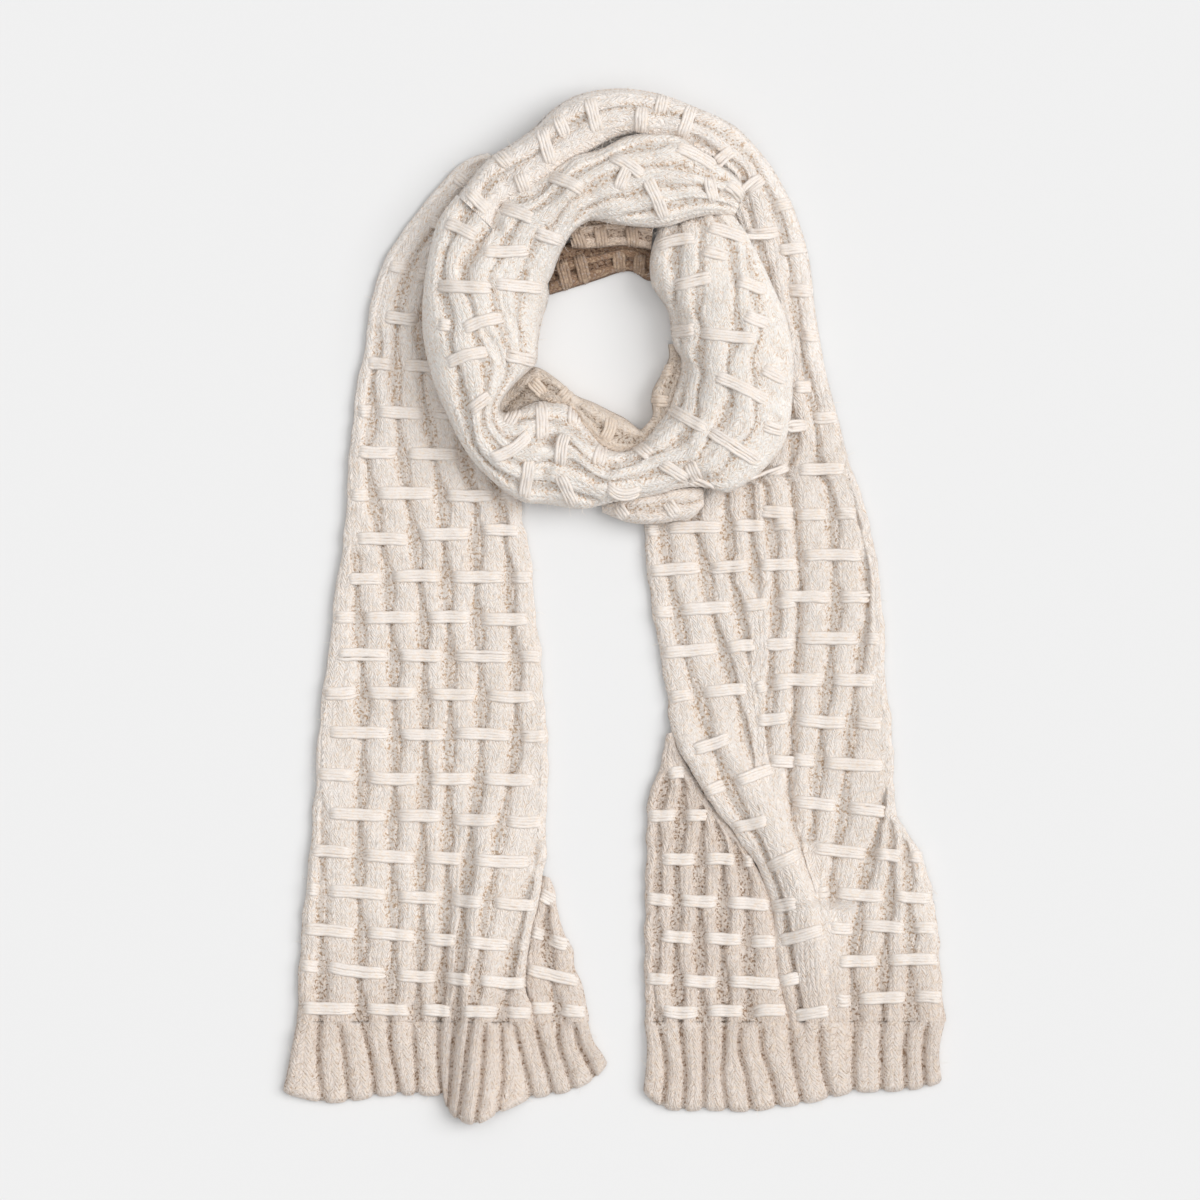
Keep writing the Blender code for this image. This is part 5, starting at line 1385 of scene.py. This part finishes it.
def float_wool(name, light, dark, shade):
    """The floats' smoother yarn, with fibres along it."""
    finish = Finish(name, Roughness=0.9, Specular_IOR_Level=0.25, Sheen_Weight=0.15)
    along, across = finish.map()
    place = finish.node("ShaderNodeTexCoord", {}, {}, "Object")
    streak = finish.noise(finish.spot(along * 1.2, across * 7.0, 0.0), 1.0, 2.0, 0.6)
    fuzz = finish.noise(place, 1500.0, 2.0, 0.65)
    base = finish.heather(place, dark, light)
    colour = finish.blend((1.0 - streak).clear(0.62, 3.0) * 0.4, base, shade)
    return finish.paint(colour, streak * 0.8 + fuzz * 0.4, 0.5, 0.0006)


def fibre_wool(name, light, dark):
    """Loose fibres that stand out of the knit."""
    finish = Finish(name, Roughness=0.9, Specular_IOR_Level=0.2)
    place = finish.node("ShaderNodeTexCoord", {}, {}, "Object")
    return finish.paint(finish.heather(place, dark, light), finish.noise(place, 1500.0), 0.3, 0.0002)


# tones of the knit: light, dark, tan and brown
TAIL_TONES = ((0.915, 0.855, 0.805), (0.87, 0.785, 0.715), (0.76, 0.59, 0.45), (0.54, 0.37, 0.24))
# lighter copy of the tail's tones: painted light on the raised loop, and on the sides where they meet it
LIT_LOOP_TONES = ((0.965, 0.915, 0.87), (0.93, 0.855, 0.795), (0.82, 0.65, 0.51), (0.60, 0.42, 0.28))
# the hem's darker tones, which also paint shade on the under layers
HEM_AND_UNDER_SHADE_TONES = ((0.84, 0.755, 0.69), (0.75, 0.64, 0.56), (0.565, 0.41, 0.295), (0.32, 0.205, 0.13))
# darker copy for the inner layer under the wrap: painted shade
TUCK_SHADE_TONES = ((0.84, 0.74, 0.65), (0.72, 0.61, 0.51), (0.58, 0.45, 0.34), (0.32, 0.22, 0.15))
# darker copies for the layers down in the neck hole, the lowest darkest: painted shade
SHADED_TONES = ((0.76, 0.62, 0.51), (0.63, 0.49, 0.39), (0.50, 0.37, 0.27), (0.26, 0.17, 0.12))
DEEP_SHADE_TONES = ((0.36, 0.23, 0.15), (0.26, 0.16, 0.10), (0.18, 0.10, 0.06), (0.09, 0.045, 0.025))
# above the shoulder a piece has the loop's lighter tones, painted light; from the hem's start on it is
# darker towards the hem
SHOULDER, HEM_START = -0.14, 0.245    # metres down from the middle, where the tones pass into the next
pale_knit = knit_wool("oatmeal_knit", LIT_LOOP_TONES, 0.68, ((SHOULDER, TAIL_TONES), (HEM_START, HEM_AND_UNDER_SHADE_TONES)))
loop_knit = knit_wool("loop_knit", LIT_LOOP_TONES, 0.72, glow=0.35)
side_knit = knit_wool("side_knit", LIT_LOOP_TONES, 0.72, ((SHOULDER, TAIL_TONES),))
hem_and_under_shade_knit = knit_wool("oatmeal_ribbing", HEM_AND_UNDER_SHADE_TONES)
tuck_shade_knit = knit_wool("tucked_knit", TUCK_SHADE_TONES)
shaded_knit = knit_wool("shaded_knit", SHADED_TONES)
deep_knit = knit_wool("deep_knit", DEEP_SHADE_TONES)
pale_float = float_wool("float_yarn", (0.885, 0.83, 0.785), (0.825, 0.75, 0.685), (0.73, 0.62, 0.53))
# the inner layer's darker float yarn: painted shade
tuck_shade_float = float_wool("tucked_float_yarn", (0.80, 0.70, 0.61), (0.68, 0.57, 0.47), (0.56, 0.44, 0.35))
loose_fibre = fibre_wool("loose_fibre", (0.97, 0.92, 0.87), (0.90, 0.82, 0.74))
# the neck layers' darker float yarn: painted shade
shaded_float = float_wool("shaded_float_yarn", (0.56, 0.44, 0.35), (0.42, 0.31, 0.23), (0.32, 0.23, 0.16))
deep_shade_float = float_wool("deep_float_yarn", (0.40, 0.29, 0.21), (0.30, 0.20, 0.14), (0.20, 0.13, 0.08))


# ---- the scarf -------------------------------------------------------------------------------------
def dress(obj, material, slot, *nodes):
    """Gives a piece its material and body, and hides the solids that it stands for; its slot is not used.
    """
    if not obj.data.materials:
        obj.data.materials.append(material)
    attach(obj, "root")
    if nodes:
        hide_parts(*nodes)
    return obj


def left_band():
    """The left side, told down from the loop, and the tail below it."""
    side = roll_band(LEFT_SIDE, FLAT_POWER, FLAT_INSET, FLAT_SIDE, swell=1.2, seed=18, settle=30.0)
    rise = np.interp(side.along, SIDE_ROWS, np.arange(len(SIDE_ROWS)))
    side.half = SIDE_TROUGHS * trough_halves(-rise, side.lines.shape[1])
    return side.backwards().then(tail_band(LEFT_TAIL, LEFT_ROWS, 1))


def right_band():
    """The arc and the right side, told down from the loop, and both parts of the tail below them."""
    side = roll_band(RIGHT_SIDE, 2.6, LOOP_INSET, 0.35, swell=1.5, seed=19, settle=150.0, wander=1.2)
    inner = tail_band(RIGHT_INNER, INNER_ROWS, 0, RIGHT_FADES)
    outer = tail_band(RIGHT_OUTER, OUTER_ROWS, 0)
    at, seam = -inner.along, inner.lines.shape[1] - 1
    lines, half, closed = (np.concatenate([getattr(inner, name), getattr(outer, name)[:, 1:]], axis=1)
                           for name in ("lines", "half", "closed"))
    lines[:, seam] = (inner.lines[:, -1] + outer.lines[:, 0]) / 2
    half[:, seam] = SEAM_TROUGH
    closed[:, seam] = np.clip((SEAM_CLOSES[0] - at) / (SEAM_CLOSES[0] - SEAM_CLOSES[1]), 0, 1)
    return side.flipped().backwards().then(flat_band(at, lines, half, closed))


def wrap_band():
    """The inner fold and, from where the arc joins it, the wrap that lies over everything else."""
    fold = roll_band(INNER_FOLD, 2.2, LOOP_INSET, 0.25, swell=1.5, seed=20, wander=1.8)
    limb = roll_band(LIMB, 2.05, LOOP_INSET, 0.25, swell=1.5, seed=21, wander=2.2)
    return fold.then(limb, 0), len(fold.along)


def tucked(name, table, power, side, seed, closed=False):
    """A short stretch that lies under the wrap; its ends are closed where they could be seen."""
    band = roll_band(table, power, FLAT_INSET, side, swell=1.0, seed=seed)
    return Fabric(band, seed).piece(name, caps=(closed, closed))


left = Fabric(left_band(), 11, (LEFT_RIDGE, LEFT_LIP))
right = right_band()
# the tail's piece starts ten rows above the tail's table, and the side's piece ends there
cut = len(right.along) - len(tail_band(RIGHT_INNER, INNER_ROWS, 0).along) - 10
right = Fabric(right, 13, (RIGHT_RIDGE, RIGHT_LIP, RIGHT_FLARE), (RIGHT_VALLEY,))
wrap, joint = wrap_band()
wrap = Fabric(wrap, 21, creases=LOOP_CREASES)
wrap.meet(joint, first=32, reach=16)
left_corner = Fabric(tail_band(LEFT_UNDER, LEFT_ROWS, 0), 12)
right_layer = Fabric(tail_band(RIGHT_UNDER, UNDER_ROWS, 0), 14)

left_knit = left.piece("left_tail_and_side_knit", caps=(False, True))
right_knit = right.piece("right_tail_knit", slice(cut, None), (True, True))
arc_knit = right.piece("right_side_and_arc_knit", slice(0, cut + 1))
wrap_knit = wrap.piece("wrap_knit")
left_under = left_corner.piece("left_tail_under_knit", caps=(True, True))
right_under = right_layer.piece("right_tail_under_knit", caps=(True, True))
left_hem = hem("left_hem_ribbing", LEFT_HEM, (LEFT_RIDGE,), 16, (left_knit, left_under))
right_hem = hem("right_hem_ribbing", RIGHT_HEM, (RIGHT_RIDGE,), 17, (right_knit, right_under))
inner_layer = tucked("inner_layer_knit", INNER_LAYER, power=2.4, side=0.3, seed=22)
front_flap = tucked("front_flap_knit", FRONT_FLAP, power=2.4, side=0.3, seed=23)
neck_low = tucked("neck_low_knit", NECK_LOW, power=5.0, side=0.5, seed=24, closed=True)
neck_mid = tucked("neck_mid_knit", NECK_MID, power=3.0, side=0.4, seed=25, closed=True)

yarns = yarn_growth()
floats = {}


def lay(piece, ground, seed, fill, material=pale_float):
    """Lays a piece's floats."""
    laid = Floats(Ground(*ground), seed)
    fill(laid)
    floats[piece] = laid.made(piece.name.replace("_knit", "_floats"), yarns, material)


def right_tail_bars(laid):
    """The right tail's floats. Those across its folds are laid one by one."""
    laid.rows_down(RIGHT_INNER, INNER_ROWS[:5], 0)
    laid.rows_down(RIGHT_OUTER, OUTER_ROWS, 0)
    laid.laid(VALLEY_FLOATS)


def left_bars(laid):
    """The left tail's floats, and the left side's."""
    laid.rows_down(LEFT_TAIL, LEFT_ROWS, 1, ((0, 9.0), (1, 3.0)))
    laid.rows_up(LEFT_SIDE, SIDE_ROWS, 0)


lay(left_knit, [left_knit], 31, left_bars)
lay(left_under, [left_under], 32, lambda laid: laid.rows_down(LEFT_UNDER, LEFT_ROWS, 0))
lay(right_knit, [right_knit], 33, right_tail_bars)
lay(right_under, [right_under], 34, lambda laid: laid.rows_down(RIGHT_UNDER, UNDER_ROWS, 0))
lay(arc_knit, [arc_knit, wrap_knit], 37, lambda laid: laid.laid(ARC_FLOATS))
lay(wrap_knit, [wrap_knit], 39, lambda laid: laid.laid(WRAP_FLOATS))
lay(inner_layer, [inner_layer], 40, lambda laid: laid.laid(INNER_FLOATS), tuck_shade_float)
lay(front_flap, [front_flap], 41, lambda laid: laid.laid(FLAP_FLOATS))
lay(neck_low, [neck_low], 42, lambda laid: laid.laid(NECK_LOW_FLOATS), deep_shade_float)
lay(neck_mid, [neck_mid], 43, lambda laid: laid.laid(NECK_MID_FLOATS), shaded_float)

fibres = fuzz_growth()
fuzz = {}
FUZZY = (left_knit, right_knit, right_under, arc_knit, wrap_knit, left_hem, right_hem)
for number, piece in enumerate(FUZZY):
    name = piece.name.replace("_knit", "").replace("_ribbing", "") + "_fuzz"
    fuzz[piece] = bpy.data.objects.new(name, piece.data.copy())
    bpy.context.scene.collection.objects.link(fuzz[piece])
    sizes = {"Density": FUZZ_DENSITY, "Girth": FIBRE_GIRTH * MM, "Seed": 50 + number}
    fibres.grow(fuzz[piece], Material=loose_fibre, **sizes)
    dress(fuzz[piece], loose_fibre, "hem_wool" if piece in (left_hem, right_hem) else "body_wool")

dress(left_knit, pale_knit, "body_wool", "left_tail", "left_side")
# the under layer takes the hem's darker tones as painted shade
dress(left_under, hem_and_under_shade_knit, "body_wool", "left_tail_under")
dress(right_knit, pale_knit, "body_wool", "right_tail_inner", "right_tail_outer")
# the under layer takes the hem's darker tones as painted shade
dress(right_under, hem_and_under_shade_knit, "body_wool", "right_tail_under")
dress(arc_knit, side_knit, "body_wool", "right_side", "outer_arc")
dress(wrap_knit, loop_knit, "body_wool", "inner_fold", "left_limb", "front_band", "right_limb")
dress(left_hem, hem_and_under_shade_knit, "hem_wool", "left_hem")
dress(right_hem, hem_and_under_shade_knit, "hem_wool", "right_hem")
dress(inner_layer, tuck_shade_knit, "inner_wool", "inner_layer")
dress(front_flap, pale_knit, "inner_wool", "front_flap")
dress(neck_low, deep_knit, "inner_wool", "neck_low")
dress(neck_mid, shaded_knit, "inner_wool", "neck_mid")
for cloth_piece, yarn_piece in floats.items():
    inside = cloth_piece in (inner_layer, neck_low, neck_mid)
    dress(yarn_piece, pale_float, "inner_wool" if inside else "body_wool")

# ---- each piece of cloth, as it was knitted: flat size in metres, and what it rests on ----------------
SHEETS = (
    (left_knit, (0.15, 0.62), []),
    (left_under, (0.03, 0.10), ["left_tail_and_side_knit"]),
    (right_knit, (0.15, 0.37), []),
    (right_under, (0.085, 0.185), []),
    (left_hem, (0.235, 0.057), []),
    (right_hem, (0.23, 0.057), []),
    (arc_knit, (0.1, 0.45), []),
    (wrap_knit, (0.125, 0.63), ["left_tail_and_side_knit", "right_side_and_arc_knit"]),
    (inner_layer, (0.035, 0.17), []),
    (front_flap, (0.038, 0.0775), []),
    (neck_low, (0.033, 0.07), []),
    (neck_mid, (0.027, 0.06), []),
)
for piece, flat, under in SHEETS:
    carried = [group[piece] for group in (floats, fuzz) if piece in group]

# ---- floor, light, camera ---------------------------------------------------------------------------
scene = bpy.context.scene
scene.view_settings.view_transform = "Standard"
FLOOR_HALF = 6.0
VIEW_SIDE = 0.816               # metres of the surface across the picture
VIEW_CENTRE = (-0.0095, 0.0034)
LENS, SENSOR = 300.0, 36.0      # long, because the photograph has next to no perspective
corners = [(x * FLOOR_HALF, y * FLOOR_HALF, 0) for x, y in ((-1, -1), (1, -1), (1, 1), (-1, 1))]
floor_mesh = bpy.data.meshes.new("floor")
floor_mesh.from_pydata(corners, [], [(0, 1, 2, 3)])
floor = bpy.data.objects.new("floor", floor_mesh)
scene.collection.objects.link(floor)
paper = Finish("pale_floor", Base_Color=(0.80, 0.80, 0.80, 1), Roughness=0.9, Specular_IOR_Level=0.1)
floor_mesh.materials.append(paper.material)

world = bpy.data.worlds.new("studio")
scene.world = world
world.use_nodes = True
world.node_tree.nodes["Background"].inputs["Color"].default_value = (1.0, 1.0, 1.0, 1)
world.node_tree.nodes["Background"].inputs["Strength"].default_value = 0.42


def soft_sun(name, strength, spread, away):
    """A wide, even light from a direction."""
    light = bpy.data.lights.new(name, "SUN")
    light.energy = strength
    light.angle = math.radians(spread)
    obj = bpy.data.objects.new(name, light)
    scene.collection.objects.link(obj)
    obj.rotation_euler = Vector(away).to_track_quat("Z", "Y").to_euler()


soft_sun("overhead", strength=1.0, spread=70.0, away=(0.1, 0.05, 1.0))
soft_sun("key", strength=1.56, spread=38.0, away=(0.68, 0.14, 0.72))

camera_data = bpy.data.cameras.new("camera")
camera_data.lens = LENS
camera_data.sensor_width = SENSOR
camera_data.clip_end = 100.0
camera = bpy.data.objects.new("camera", camera_data)
scene.collection.objects.link(camera)
camera.location = (*VIEW_CENTRE, VIEW_SIDE * LENS / SENSOR)
scene.camera = camera
